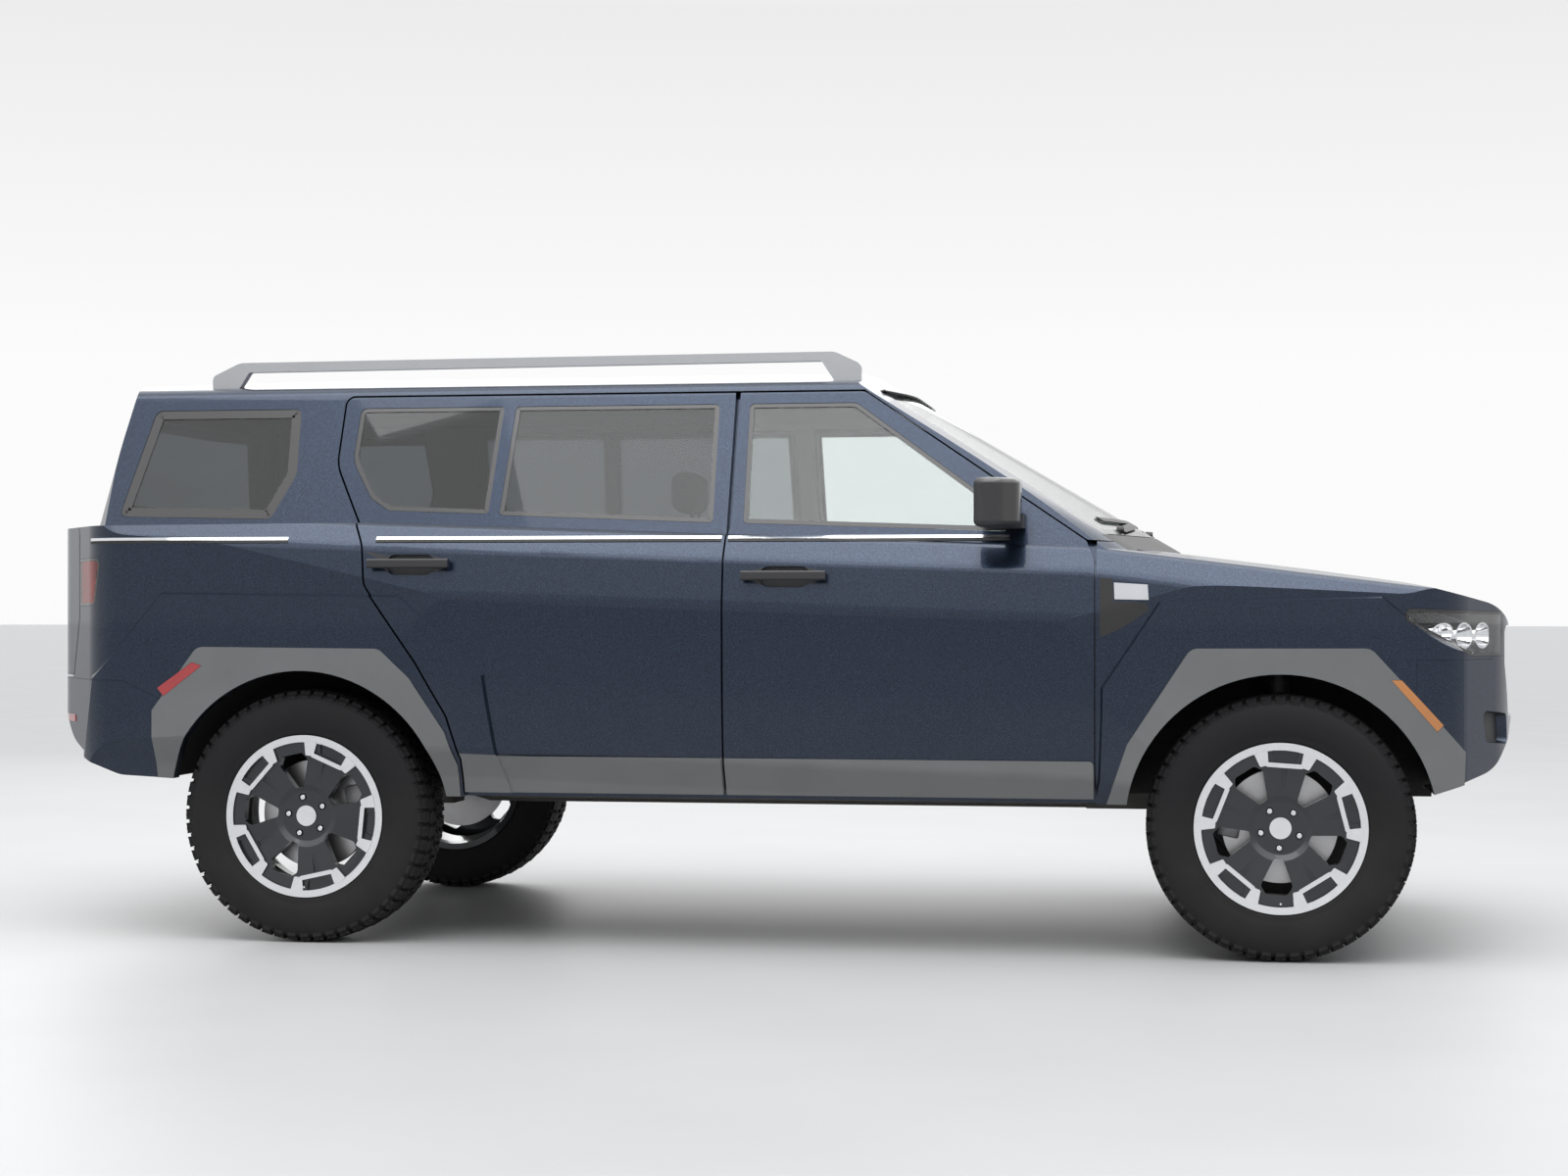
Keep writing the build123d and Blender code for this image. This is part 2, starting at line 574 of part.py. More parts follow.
# The bonnet rests on a gutter along each fender's upper edge.
GUTTER_REAR = FRONT_AXLE_X - 275
GUTTER_FRONT = NOSE - 245
with BuildPart() as gutter:
    push_up(grown(BONNET, 26), 900, 1400)
    push_up(grown(BONNET, -22), 900, 1400, Mode.SUBTRACT)
    block(GUTTER_REAR, GUTTER_FRONT, -BEYOND, -300, 0, 1400, Mode.INTERSECT)
    add(layer(LOWER[SKIN + SEAT_GAP], LOWER[60]), mode=Mode.INTERSECT)
with BuildPart() as gutter_foot:
    push_up(grown(BONNET, 26), 900, 1400)
    push_up(grown(BONNET, PANEL_GAP), 900, 1400, Mode.SUBTRACT)
    block(GUTTER_REAR, GUTTER_FRONT, -BEYOND, -300, 0, 1400, Mode.INTERSECT)
    add(layer(LOWER[SKIN], LOWER[60]), mode=Mode.INTERSECT)
with BuildPart() as shut_flange:
    add(LAP_LAYER)
    block(FRONT_SHUT + 11, FRONT_SHUT + 33, -BEYOND, -500, 500, 1100, Mode.INTERSECT)
with BuildPart() as fender:
    add(SKIN_LAYER)
    push_side(outline(
        (FRONT_SHUT + PANEL_GAP, 440), (FRONT_SHUT + PANEL_GAP, 1204), (FRONT_SHUT + 253, 1204),
        (AHEAD, 1120),
        (AHEAD, 440),
    ), 300, BEYOND, Mode.INTERSECT)
    add(shut_flange.part)
    push_up(grown(BONNET, PANEL_GAP), 0, 1400, Mode.SUBTRACT)
    add(gutter.part)
    add(gutter_foot.part)
    push_side(grown(FRONT_BUMPER, STATIC_GAP), 0, BEYOND, Mode.SUBTRACT)
    block(NOSE - 195, AHEAD, 304.2 - HALF_WIDTH, BEYOND, 0, 1400, Mode.SUBTRACT)
    add(lamp_spaces.part, mode=Mode.SUBTRACT)
    add(wheel_spaces.part, mode=Mode.SUBTRACT)
    block(FRONT_SHUT - 147, FRONT_AXLE_X - 244, 138.2 - HALF_WIDTH, 0, 1000, 1300, Mode.SUBTRACT)
    mirror(about=Plane.XZ)
save(fender.part, "front_fenders")

with BuildPart() as fog_spaces:
    push_forward(FOG_RECESS, FRONT_AXLE_X + 425, AHEAD)
    mirror(about=Plane.XZ)
with BuildPart() as front_bumper:
    push_across(FRONT_BUMPER)
    block(NOSE - 194, AHEAD, 305 - HALF_WIDTH, HALF_WIDTH - 305, 855, 1200)
    add(LOWER_SKIN, mode=Mode.INTERSECT)
    push_up(grown(BONNET, PANEL_GAP + 3), 0, 1400, Mode.SUBTRACT)
    push_forward(GRILLE, FRONT_AXLE_X + 325, AHEAD, Mode.SUBTRACT)
    push_forward(LOWER_INTAKE, FRONT_AXLE_X + 325, AHEAD, Mode.SUBTRACT)
    for space in (lamp_spaces, wheel_spaces, fog_spaces):
        add(space.part, mode=Mode.SUBTRACT)
save(front_bumper.part, "front_bumper")

# The bumper carries the load sill, which steps down onto the load floor.
SILL_FRONT = TAIL + WALL + 45
with BuildPart() as load_sill:
    block(TAIL + 10, SILL_FRONT, -600, 600, 774, 789)
    block(SILL_FRONT - 14, SILL_FRONT, -600, 600, LOAD_FLOOR_Z + SEAT_GAP, 789)
    add(LOWER[LENS], mode=Mode.INTERSECT)
TOW_EYE = (TAIL + 95, 430, 660)
with BuildPart() as rear_bumper:
    push_across(REAR_BUMPER)
    add(LOWER_SKIN, mode=Mode.INTERSECT)
    add(wheel_spaces.part, mode=Mode.SUBTRACT)
    add(load_sill.part)
    block(TOW_EYE[0], TOW_EYE[0] + 85, TOW_EYE[1] - 26, TOW_EYE[1] + 26, TOW_EYE[2] - 26, TOW_EYE[2] + 26)
    with Locations(Location(TOW_EYE, (0, 90, 0))):
        Cylinder(8, 80, align=(Align.CENTER, Align.CENTER, Align.MIN), mode=Mode.SUBTRACT)
        Cylinder(20, 150, align=(Align.CENTER, Align.CENTER, Align.MAX), mode=Mode.SUBTRACT)
save(rear_bumper.part, "rear_bumper")


def slots(middle_z, columns, rows, pitch, height):
    """Rows of air slots through the nose, with upright ribs between them."""
    across_nose = Plane(origin=(FRONT_AXLE_X + 325, 0, middle_z), x_dir=(0, 1, 0), z_dir=(1, 0, 0))
    with BuildSketch(across_nose) as pattern:
        with GridLocations(96, pitch, columns, rows):
            Rectangle(88, height)
    extrude(pattern.sketch, amount=500, mode=Mode.SUBTRACT)


# Radiator grille, lower intake and the blanks behind the fog lamps, all lapping behind the bumper.
with BuildPart() as grille:
    push_forward(grown(GRILLE, 14), FRONT_AXLE_X + 325, AHEAD)
    push_forward(grown(LOWER_INTAKE, 12), FRONT_AXLE_X + 325, AHEAD)
    push_forward(grown(FOG_RECESS, 10), FRONT_AXLE_X + 425, AHEAD)
    push_forward(grown(FOG_RECESS, 10).mirror(Plane.YZ), FRONT_AXLE_X + 425, AHEAD)
    add(layer(LOWER[SKIN + SEAT_GAP], LOWER[60]), mode=Mode.INTERSECT)
    slots(820, 10, 7, 34, 24)
    slots(600, 7, 2, 30, 20)
save(grille.part, "grille")

def reflector(face, near, y, z, radius):
    """Open barrel standing on the back wall of a lamp's housing."""
    with BuildPart() as barrel:
        with Locations(Location((0 if face is HEAD_LAMP else TAIL, y, z), (0, 90, 0))):
            Cylinder(radius, NOSE, align=(Align.CENTER, Align.CENTER, Align.MIN))
            Cylinder(radius - 5, NOSE, align=(Align.CENTER, Align.CENTER, Align.MIN), mode=Mode.SUBTRACT)
        push_side(grown(face, -1), near + 1, BEYOND, Mode.INTERSECT)
        add(layer(LOWER[SKIN], LOWER[WALL]), mode=Mode.INTERSECT)
    return barrel.part


def lamp(face, near, barrels):
    """Housing with a rim and reflector barrels, and a thin clear lens set inside the rim."""
    with BuildPart() as hollow:
        push_side(grown(face, -LAMP_RIM), near + LAMP_RIM, BEYOND)
        add(LOWER[60], mode=Mode.SUBTRACT)
    with BuildPart() as housing:
        add(WALL_LAYER)
        push_side(face, near, BEYOND, Mode.INTERSECT)
        add(hollow.part, mode=Mode.SUBTRACT)
        for barrel in barrels:
            add(reflector(face, near, *barrel))
    with BuildPart() as lens:
        add(layer(OUTSIDE, LOWER[LENS]))
        push_side(grown(face, -LAMP_RIM - SEAT_GAP), near + LAMP_RIM + SEAT_GAP, BEYOND, Mode.INTERSECT)
    return [*housing.part.solids(), *lens.part.solids()]


# ------------------------------------------------------------------ arches
def liner(axle_x, near, low):
    """Vault over a wheel, closed on its inner side."""
    with BuildPart() as vault:
        arch(axle_x, LINER_RADIUS, near, Mode.ADD)
        arch(axle_x, LINER_RADIUS - LINER_WALL, near - 1)
        block(BEHIND, AHEAD, -BEYOND, 0, 450, 1200, Mode.INTERSECT)
        add(UNDER_SKIN, mode=Mode.INTERSECT)
    with BuildPart() as inner_side:
        bar_across(axle_x, TYRE_RADIUS, LINER_RADIUS, -near - LINER_WALL, -near)
        block(BEHIND, AHEAD, -BEYOND, 0, low, 1200, Mode.INTERSECT)
    return joined(vault.part, inner_side.part)


with BuildPart() as liners:
    add(liner(FRONT_AXLE_X, FRONT_LINER_Y, 560))
    add(liner(REAR_AXLE_X, REAR_LINER_Y, 450))
    mirror(about=Plane.XZ)
save(liners.part, "wheel_liners")

ARCH_LAYER = layer(lower_body(-FLARE - ARCH_CLADDING), LOWER[0])
with BuildPart() as arch_trims:
    push_side(FRONT_TRIM, 500, BEYOND)
    push_side(REAR_TRIM, 500, BEYOND)
    for marker in (FRONT_MARKER, REAR_MARKER):
        push_side(grown(marker, STATIC_GAP), 500, BEYOND, Mode.SUBTRACT)
    add(wheel_spaces.part, mode=Mode.SUBTRACT)
    add(ARCH_LAYER, mode=Mode.INTERSECT)
    mirror(about=Plane.XZ)
save(arch_trims.part, "arch_trims")

HEAD_REFLECTORS = ((305 - HALF_WIDTH, 931, 38), (220 - HALF_WIDTH, 931, 38), (145 - HALF_WIDTH, 940, 28))
TAIL_REFLECTORS = ((145 - HALF_WIDTH, 1080, 32),)
for name, face, near, barrels, marker in (
    ("head_lamps", HEAD_LAMP, LAMP_NEAR + STATIC_GAP, HEAD_REFLECTORS, FRONT_MARKER),
    ("tail_lamps", TAIL_LAMP, TAIL_LAMP_NEAR + STATIC_GAP, TAIL_REFLECTORS, REAR_MARKER),
):
    with BuildPart() as marker_lens:
        add(ARCH_LAYER)
        push_side(marker, 500, BEYOND, Mode.INTERSECT)
    right = [*lamp(face, near, barrels), *marker_lens.part.solids()]
    save(Part() + [*right, *[mirror(solid, about=Plane.XZ) for solid in right]], name)

# ------------------------------------------------------------------ floor, engine and inside
with BuildPart() as floor:
    push_across(outline(
        (FIREWALL_X, UNDERSIDE_Z), (FIREWALL_X, FLOOR_Z), (REAR_AXLE_X + 495, FLOOR_Z),
        (REAR_AXLE_X + 435, LOAD_FLOOR_Z), (TAIL + 115, LOAD_FLOOR_Z), (TAIL + 115, LOAD_FLOOR_Z - 35),
        (REAR_AXLE_X + 395, LOAD_FLOOR_Z - 35),
        (REAR_AXLE_X + 455, UNDERSIDE_Z),
    ))
    add(CABIN, mode=Mode.INTERSECT)
    for side in (-1, 1):
        bar_across(
            REAR_AXLE_X, TYRE_RADIUS, LINER_RADIUS + SEAT_GAP, side * (REAR_LINER_Y - SEAT_GAP),
            side * BEYOND,
            Mode.SUBTRACT,
        )
save(floor.part, "floor_pan")

with BuildPart() as bulkhead:
    block(FIREWALL_X + SEAT_GAP, FIREWALL_X + 23, -BEYOND, BEYOND, UNDERSIDE_Z + 1, 1150)
    add(CABIN, mode=Mode.INTERSECT)
save(bulkhead.part, "bulkhead")

with BuildPart() as engine:
    block(FRONT_AXLE_X - 245, FRONT_AXLE_X + 325, 122 - FRONT_LINER_Y, FRONT_LINER_Y - 122, 440, 960)
save(engine.part, "engine_block")

WHEEL_TILT = Location((FIREWALL_X - 476, 370, 965), (0, -62, 0))
with BuildPart() as column:
    with Locations(WHEEL_TILT * Location((0, 0, -20 - SEAT_GAP))):
        Cylinder(32, 180, align=(Align.CENTER, Align.CENTER, Align.MAX))
with BuildPart() as console:
    push_side(outline(
        (FIREWALL_X - 31, FLOOR_Z + SEAT_GAP), (FIREWALL_X - 31, 760 - SEAT_GAP),
        (FIREWALL_X - 101, 760 - SEAT_GAP),
        (FIREWALL_X - 221, 700, 40), (FIREWALL_X - 611, 660, 40), (FIREWALL_X - 641, 710, 30),
        (FIREWALL_X - 1101, 710, 40),
        (FIREWALL_X - 1111, FLOOR_Z + SEAT_GAP),
    ), -110, 110)
with BuildPart() as dashboard:
    push_across(outline(
        (FIREWALL_X - 341, 1090, 40), (FIREWALL_X - 261, 1130, 40), (FIREWALL_X, 1140), (FIREWALL_X, 760),
        (FIREWALL_X - 101, 760, 40), (FIREWALL_X - 201, 845, 60), (FIREWALL_X - 331, 900, 40),
    ))
    add(lower_body(WALL + DOOR_CLEARANCE), mode=Mode.INTERSECT)
    add(column.part)
    add(console.part)
save(dashboard.part, "dashboard")

SEAT_X = FIREWALL_X - 631
with BuildPart() as front_seats:
    push_side(outline(
        (SEAT_X, FLOOR_Z + SEAT_GAP), (SEAT_X + 40, 700, 60), (SEAT_X, 770, 60), (SEAT_X - 450, 740, 30),
        (SEAT_X - 610, 1290, 40), (SEAT_X - 630, 1450, 40), (SEAT_X - 720, 1440, 40),
        (SEAT_X - 700, 1290, 60),
        (SEAT_X - 560, 640, 80), (SEAT_X - 490, FLOOR_Z + SEAT_GAP),
    ), 130, HALF_WIDTH - 305)
    mirror(about=Plane.XZ)
save(front_seats.part, "front_seats")

BENCH_X = REAR_AXLE_X + 895
with BuildPart() as rear_seats:
    push_side(outline(
        (BENCH_X, FLOOR_Z + SEAT_GAP), (BENCH_X + 30, 700, 60), (BENCH_X - 10, 780, 60),
        (BENCH_X - 440, 760, 30),
        (BENCH_X - 580, 1280, 40), (BENCH_X - 680, 1280, 40), (BENCH_X - 570, LOAD_FLOOR_Z + SEAT_GAP),
        (BENCH_X - 458, LOAD_FLOOR_Z + SEAT_GAP), (BENCH_X - 398, FLOOR_Z + SEAT_GAP),
    ), 405 - HALF_WIDTH, HALF_WIDTH - 405)
save(rear_seats.part, "rear_seats")

with BuildPart() as steering_wheel:
    with BuildSketch(Plane.XZ):
        with Locations((185, 0)):
            Circle(15)
    revolve(axis=Axis.Z)
    Cylinder(50, 40)
    for angle in (90, 180, 270):
        with Locations(Location((0, 0, 0), (0, 0, angle)) * Location((110, 0, 0))):
            Box(140, 28, 14)
save(WHEEL_TILT * steering_wheel.part, "steering_wheel")

RAIL_FRONT = FRONT_SHUT - 717
RAIL_REAR = TAIL + 555
with BuildPart() as rail:
    push_side(outline(
        (RAIL_FRONT, ROOF_Z - 52), (RAIL_FRONT, ROOF_Z, 20), (RAIL_FRONT - 80, ROOF_Z + 38, 60),
        (RAIL_REAR + 90, ROOF_Z + 30, 60), (RAIL_REAR, ROOF_Z - 12, 20), (RAIL_REAR, ROOF_Z - 62),
        (RAIL_REAR + 80, ROOF_Z - 62), (RAIL_REAR + 120, ROOF_Z, 10), (RAIL_FRONT - 120, ROOF_Z + 10, 10),
        (RAIL_FRONT - 80, ROOF_Z - 52),
    ), HALF_WIDTH - 360, HALF_WIDTH - 328)
    add(UPPER[0], mode=Mode.SUBTRACT)
RAIL = largest(rail.part)
save(Part() + [RAIL, other_side(RAIL)], "roof_rails")

# ------------------------------------------------------------------ running gear
FRAME_Y = FRONT_LINER_Y - 22
REAR_BEAM_Y = REAR_LINER_Y - 60
LINER_TOP = TYRE_RADIUS + LINER_RADIUS
with BuildPart() as front_frame:
    for side in (-1, 1):
        block(
            FRONT_AXLE_X - 30, FRONT_AXLE_X + 30, side * (FRONT_LINER_Y - 57), side * FRAME_Y,
            ARM_TOP - 28, 400,
        )
        block(
            FRONT_AXLE_X - 30, FRONT_AXLE_X + 30, side * (FRONT_LINER_Y - 57), side * KINGPIN_Y,
            ARM_TOP - 28, ARM_TOP,
        )
        bar_upright(FRONT_AXLE_X, side * KINGPIN_Y, 30, ARM_TOP - 28, KNUCKLE_FOOT - STATIC_GAP)
        bar_upright(FRONT_AXLE_X, side * STRUT_Y, 24, ARM_TOP - 5, LINER_TOP - 10)
        bar_upright(FRONT_AXLE_X, side * STRUT_Y, 34, LINER_TOP - 296, LINER_TOP - 56)
        block(
            FRONT_AXLE_X - 95, FRONT_AXLE_X + 105, side * (FRAME_Y - 130), side * (FRAME_Y - 50), 399,
            440 - SEAT_GAP,
        )
        block(
            FRONT_AXLE_X - 575, FRONT_AXLE_X - 125, side * (FRAME_Y - 90), side * (FRAME_Y - 30), 395,
            UNDERSIDE_Z - SEAT_GAP,
        )
    block(FRONT_AXLE_X - 135, FRONT_AXLE_X + 125, -FRAME_Y, FRAME_Y, 330, 400)
with BuildPart() as rear_frame:
    block(REAR_AXLE_X - 75, REAR_AXLE_X + 75, -REAR_BEAM_Y, REAR_BEAM_Y, TYRE_RADIUS - 37, TYRE_RADIUS + 38)
    for side in (-1, 1):
        block(
            REAR_AXLE_X - 55, REAR_AXLE_X + 55, side * REAR_BEAM_Y, side * HUB_CARRIER_Y, TYRE_RADIUS - 62,
            TYRE_RADIUS + 68,
        )
        bar_across(REAR_AXLE_X, TYRE_RADIUS, SPINDLE_RADIUS, side * HUB_CARRIER_Y, side * SPINDLE_END)
        block(
            REAR_AXLE_X - 25, REAR_AXLE_X + 25, side * (REAR_BEAM_Y - 100), side * (REAR_BEAM_Y - 50),
            TYRE_RADIUS + 38, LOAD_FLOOR_UNDER,
        )
save(Part() + [front_frame.part.solid(), rear_frame.part.solid()], "subframes")

with BuildPart() as knuckle:
    block(
        FRONT_AXLE_X - 45, FRONT_AXLE_X + 45, -KINGPIN_Y - 20, -KINGPIN_Y + 20, KNUCKLE_FOOT,
        TYRE_RADIUS + 158,
    )
    bar_across(FRONT_AXLE_X, TYRE_RADIUS, SPINDLE_RADIUS, -KINGPIN_Y, -SPINDLE_END)
save(knuckle.part, "steering_knuckle_right")
save(other_side(knuckle.part), "steering_knuckle_left")

PIPE_START = (FRONT_AXLE_X - 575, -120, 405)
SILENCER_Y = 20 - REAR_LINER_Y
TAIL_PIPE_Y = SILENCER_Y + 240
with BuildPart() as exhaust:
    with BuildLine():
        Polyline(
            PIPE_START, (REAR_AXLE_X + 365, -120, 405), (REAR_AXLE_X + 205, TAIL_PIPE_Y, 480),
            (REAR_AXLE_X - 115, TAIL_PIPE_Y, 480),
        )
    with BuildSketch(Plane(origin=PIPE_START, z_dir=(-1, 0, 0))):
        Circle(28)
    sweep(transition=Transition.ROUND)
    block(REAR_AXLE_X - 355, REAR_AXLE_X - 105, SILENCER_Y, SILENCER_Y + 250, 425, 545)
    block(
        REAR_AXLE_X - 245, REAR_AXLE_X - 215, SILENCER_Y + 110, SILENCER_Y + 140, 544, LOAD_FLOOR_UNDER,
    )
    block(CENTRE_SHUT + 238, CENTRE_SHUT + 268, -135, -105, 420, UNDERSIDE_Z - SEAT_GAP)
save(exhaust.part, "exhaust_system")

# ------------------------------------------------------------------ wheels
# A wheel is drawn about its own centre with its outer face towards -Y.  In a section, X is the radius.
HALF_TYRE = TYRE_WIDTH / 2
BEAD_RADIUS = RIM_RADIUS - 16
with BuildPart() as tyre:
    with BuildSketch(Plane.XY) as tyre_section:
        add(outline(
            (BEAD_RADIUS, -BEAD_Y), (RIM_RADIUS + 1, -BEAD_Y), (RIM_RADIUS + 3, -HALF_TYRE + 7),
            (RIM_RADIUS + 65, -HALF_TYRE, 50), (TYRE_RADIUS, -HALF_TYRE + 20, 26),
            (TYRE_RADIUS, HALF_TYRE - 20, 26),
            (RIM_RADIUS + 65, HALF_TYRE, 50), (RIM_RADIUS + 3, HALF_TYRE - 7), (RIM_RADIUS + 1, BEAD_Y),
            (BEAD_RADIUS, BEAD_Y), (BEAD_RADIUS, BEAD_Y - 18), (RIM_RADIUS + 10, BEAD_Y - 10),
            (TYRE_RADIUS - 22, HALF_TYRE - 34), (TYRE_RADIUS - 22, -HALF_TYRE + 34),
            (RIM_RADIUS + 10, -BEAD_Y + 10),
            (BEAD_RADIUS, -BEAD_Y + 18),
        ))
    revolve(axis=Axis.Y)

SPOKE = 72
SEAT_Y = BEAD_Y + SEAT_GAP
BARREL = BEAD_RADIUS - SEAT_GAP
RING_Y = HALF_TYRE - 13.5
FACE_Y = HALF_TYRE - 14.5
PAD_Y = HALF_TYRE - 5.5
HUB_Y = HALF_TYRE - 33.5


def press(face, from_y, count, start, mode):
    """Outline pressed from outside to a depth on the wheel's face, repeated around the hub."""
    with BuildSketch(Plane.XZ.offset(from_y)) as pattern:
        with PolarLocations(0, count, start_angle=start):
            add(face)
    extrude(pattern.sketch, amount=PAD_Y + 20 - from_y, mode=mode)


with BuildPart() as rim:
    with BuildSketch(Plane.XY) as barrel_section:
        add(outline(
            (BARREL, -SEAT_Y), (RIM_RADIUS, -SEAT_Y), (RIM_RADIUS, -SEAT_Y - 9),
            (BARREL - 5, -SEAT_Y - 9),
            (BARREL - 11, -SEAT_Y + 20), (BARREL - 24, 0, 20), (BARREL - 11, SEAT_Y - 20),
            (BARREL - 5, SEAT_Y + 9),
            (RIM_RADIUS, SEAT_Y + 9), (RIM_RADIUS, SEAT_Y), (BARREL, SEAT_Y), (BARREL, SEAT_Y - 24),
            (BARREL - 16, 0, 20), (BARREL, -SEAT_Y + 24),
        ))
    revolve(axis=Axis.Y)
    with BuildSketch(Plane.XY) as dish_section:
        add(outline(
            (0, 0), (0, -HUB_Y), (76, -HUB_Y, 8), (94, -HUB_Y - 8, 8), (206, -FACE_Y, 20),
            (BARREL - 7, -FACE_Y - 1),
            (BARREL - 7, -FACE_Y + 29), (74, -HUB_Y + 24, 10), (74, 0),
        ))
    revolve(axis=Axis.Y)
    # Ten raised pads in pairs, a chord and an outer arc joining each pair, and a pocket between them.
    pad = outline((184, -12, 4), (BARREL - 3, -20, 4), (BARREL - 3, 20, 4), (184, 12, 4))
    press(pad, FACE_Y - 12, 10, 90 + SPOKE / 4, Mode.ADD)
    chord = outline((174, -54, 5), (187, -50, 5), (187, 50, 5), (174, 54, 5))
    press(chord, FACE_Y - 12, 5, 90, Mode.ADD)
    bar_across(0, 0, RIM_RADIUS, -HALF_TYRE - 40, -PAD_Y, Mode.SUBTRACT)
    pocket = outline((192, -30, 6), (221, -42, 6), (224, 0), (221, 42, 6), (192, 30, 6))
    press(pocket, FACE_Y - 9, 5, 90, Mode.SUBTRACT)
    # Five windows between the spokes, a groove fading out towards the hub along each spoke.
    window = outline((88, -13, 8), (166, -46, 14), (189, -32, 10), (189, 32, 10), (166, 46, 14),
    (88, 13, 8))
    press(window, 0, 5, 90 + SPOKE / 2, Mode.SUBTRACT)
    groove = outline((98, -3), (170, -9), (170, 9), (98, 3))
    press(groove, FACE_Y - 9, 5, 90, Mode.SUBTRACT)
    with BuildSketch(Plane.XZ.offset(HUB_Y - 10)) as nut_hollows:
        with PolarLocations(57, 5, start_angle=90 + SPOKE / 2):
            Circle(12)
    extrude(nut_hollows.sketch, amount=40, mode=Mode.SUBTRACT)
    bar_across(0, 0, 31, -HUB_Y - 4, -HUB_Y + 6)
    bar_across(0, 0, SPINDLE_RADIUS + SPINDLE_PLAY, -HUB_Y + 12, 5, Mode.SUBTRACT)
with BuildPart() as disc:
    bar_across(0, 0, DISC_RADIUS, 0, DISC_WIDTH)
    bar_across(0, 0, SPINDLE_RADIUS + SPINDLE_PLAY, -1, DISC_WIDTH + 1, Mode.SUBTRACT)
for axle_x, place, roll in ((FRONT_AXLE_X, "front", 3.6), (REAR_AXLE_X, "rear", 23.5)):
    for y, hand, turn in ((-WHEEL_Y, "right", 0), (WHEEL_Y, "left", 180)):
        spot = Location((axle_x, y, TYRE_RADIUS), (0, roll, turn))
        save(spot * tyre.part, f"tyre_{place}_{hand}")
        save(spot * rim.part, f"rim_{place}_{hand}")
        save(spot * disc.part, f"brake_disc_{place}_{hand}")

# ------------------------------------------------------------------ mirrors
MIRROR_X = FRONT_SHUT - 272
MIRROR_Y = -HALF_WIDTH - 55
with BuildPart() as mirror_head:
    with BuildSketch(Plane.XY.offset(1242)):
        add(outline(
            (MIRROR_X - 62, MIRROR_Y + 95, 12), (MIRROR_X - 62, MIRROR_Y - 90, 20),
            (MIRROR_X + 5, MIRROR_Y - 95, 60),
            (MIRROR_X + 66, MIRROR_Y - 20, 60), (MIRROR_X + 66, MIRROR_Y + 80, 40),
            (MIRROR_X + 40, MIRROR_Y + 95, 12),
        ))
    extrude(amount=140)
    fillet(mirror_head.faces().filter_by(Axis.Z).edges(), 18)
    block(MIRROR_X - 80, MIRROR_X - 52, MIRROR_Y - 76, MIRROR_Y + 80, 1256, 1368, Mode.SUBTRACT)
    block(MIRROR_X + 10, MIRROR_X + 70, MIRROR_Y + 40, MIRROR_Y + 170, 1242, 1282)
    add(OUTSIDE, mode=Mode.SUBTRACT)
MIRROR = largest(mirror_head.part)
save(MIRROR, "mirror_right")
save(other_side(MIRROR), "mirror_left")
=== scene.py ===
# %% [markdown]
# # Sport utility vehicle, finished in Blender
# The vehicle arrives as a imported model: every panel, pane, lamp, seat and wheel is already a piece at its
# real size, and every piece rides on a body that a joint can move.  Nothing here moves or reshapes those
# pieces.  This lesson gives them their finish, and adds the things that are too small for the
# construction model: tyre tread, lamp insides, seals, mouldings, stitched seats and trim.
# Start by loading the frame.

# %% Load the frame
import json
import math
from collections import namedtuple
import bmesh
import bpy
from mathutils import Matrix, Vector
from mathutils.bvhtree import BVHTree


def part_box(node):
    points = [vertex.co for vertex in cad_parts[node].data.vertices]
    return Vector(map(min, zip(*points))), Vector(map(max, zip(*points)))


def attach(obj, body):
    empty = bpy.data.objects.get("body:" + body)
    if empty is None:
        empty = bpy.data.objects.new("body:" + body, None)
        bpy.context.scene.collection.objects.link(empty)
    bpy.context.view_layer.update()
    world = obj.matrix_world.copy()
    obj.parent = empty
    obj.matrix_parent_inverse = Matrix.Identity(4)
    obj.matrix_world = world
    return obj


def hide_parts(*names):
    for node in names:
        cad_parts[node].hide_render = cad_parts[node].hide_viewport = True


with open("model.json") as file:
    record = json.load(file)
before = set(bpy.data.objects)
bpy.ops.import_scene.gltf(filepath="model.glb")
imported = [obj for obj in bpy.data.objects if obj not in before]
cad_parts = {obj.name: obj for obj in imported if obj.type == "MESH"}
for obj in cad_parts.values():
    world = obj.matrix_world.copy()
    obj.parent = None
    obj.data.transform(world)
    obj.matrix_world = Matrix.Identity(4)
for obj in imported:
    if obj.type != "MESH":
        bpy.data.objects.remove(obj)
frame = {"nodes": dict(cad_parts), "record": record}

nodes = frame["nodes"]
node_body = {name: body for body, names in frame["record"]["behaviour"]["bodies"].items() for name in names}
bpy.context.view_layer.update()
SIDES = {"left": 1, "right": -1}

# %% [markdown]
# ## Camera
# A car is best judged from about eye height and a little ahead of its middle, with a long lens so that
# the wheels stay round.  The camera looks level, so uprights stay upright; a small vertical shift
# frames the car without tilting the camera.

# %% Camera
camera = bpy.data.objects.new("camera", bpy.data.cameras.new("camera"))
bpy.context.scene.collection.objects.link(camera)
camera.location = (1.382, -8.62, 1.012)
camera.rotation_euler = (math.radians(90), 0, math.radians(9.137))
camera.data.sensor_width = 36
camera.data.lens = 61.1
camera.data.shift_y = 0.0125
camera.data.clip_end = 300
bpy.context.scene.camera = camera
print("camera looks along", [round(v, 3) for v in camera.rotation_euler.to_matrix() @ Vector((0, 0, -1))])

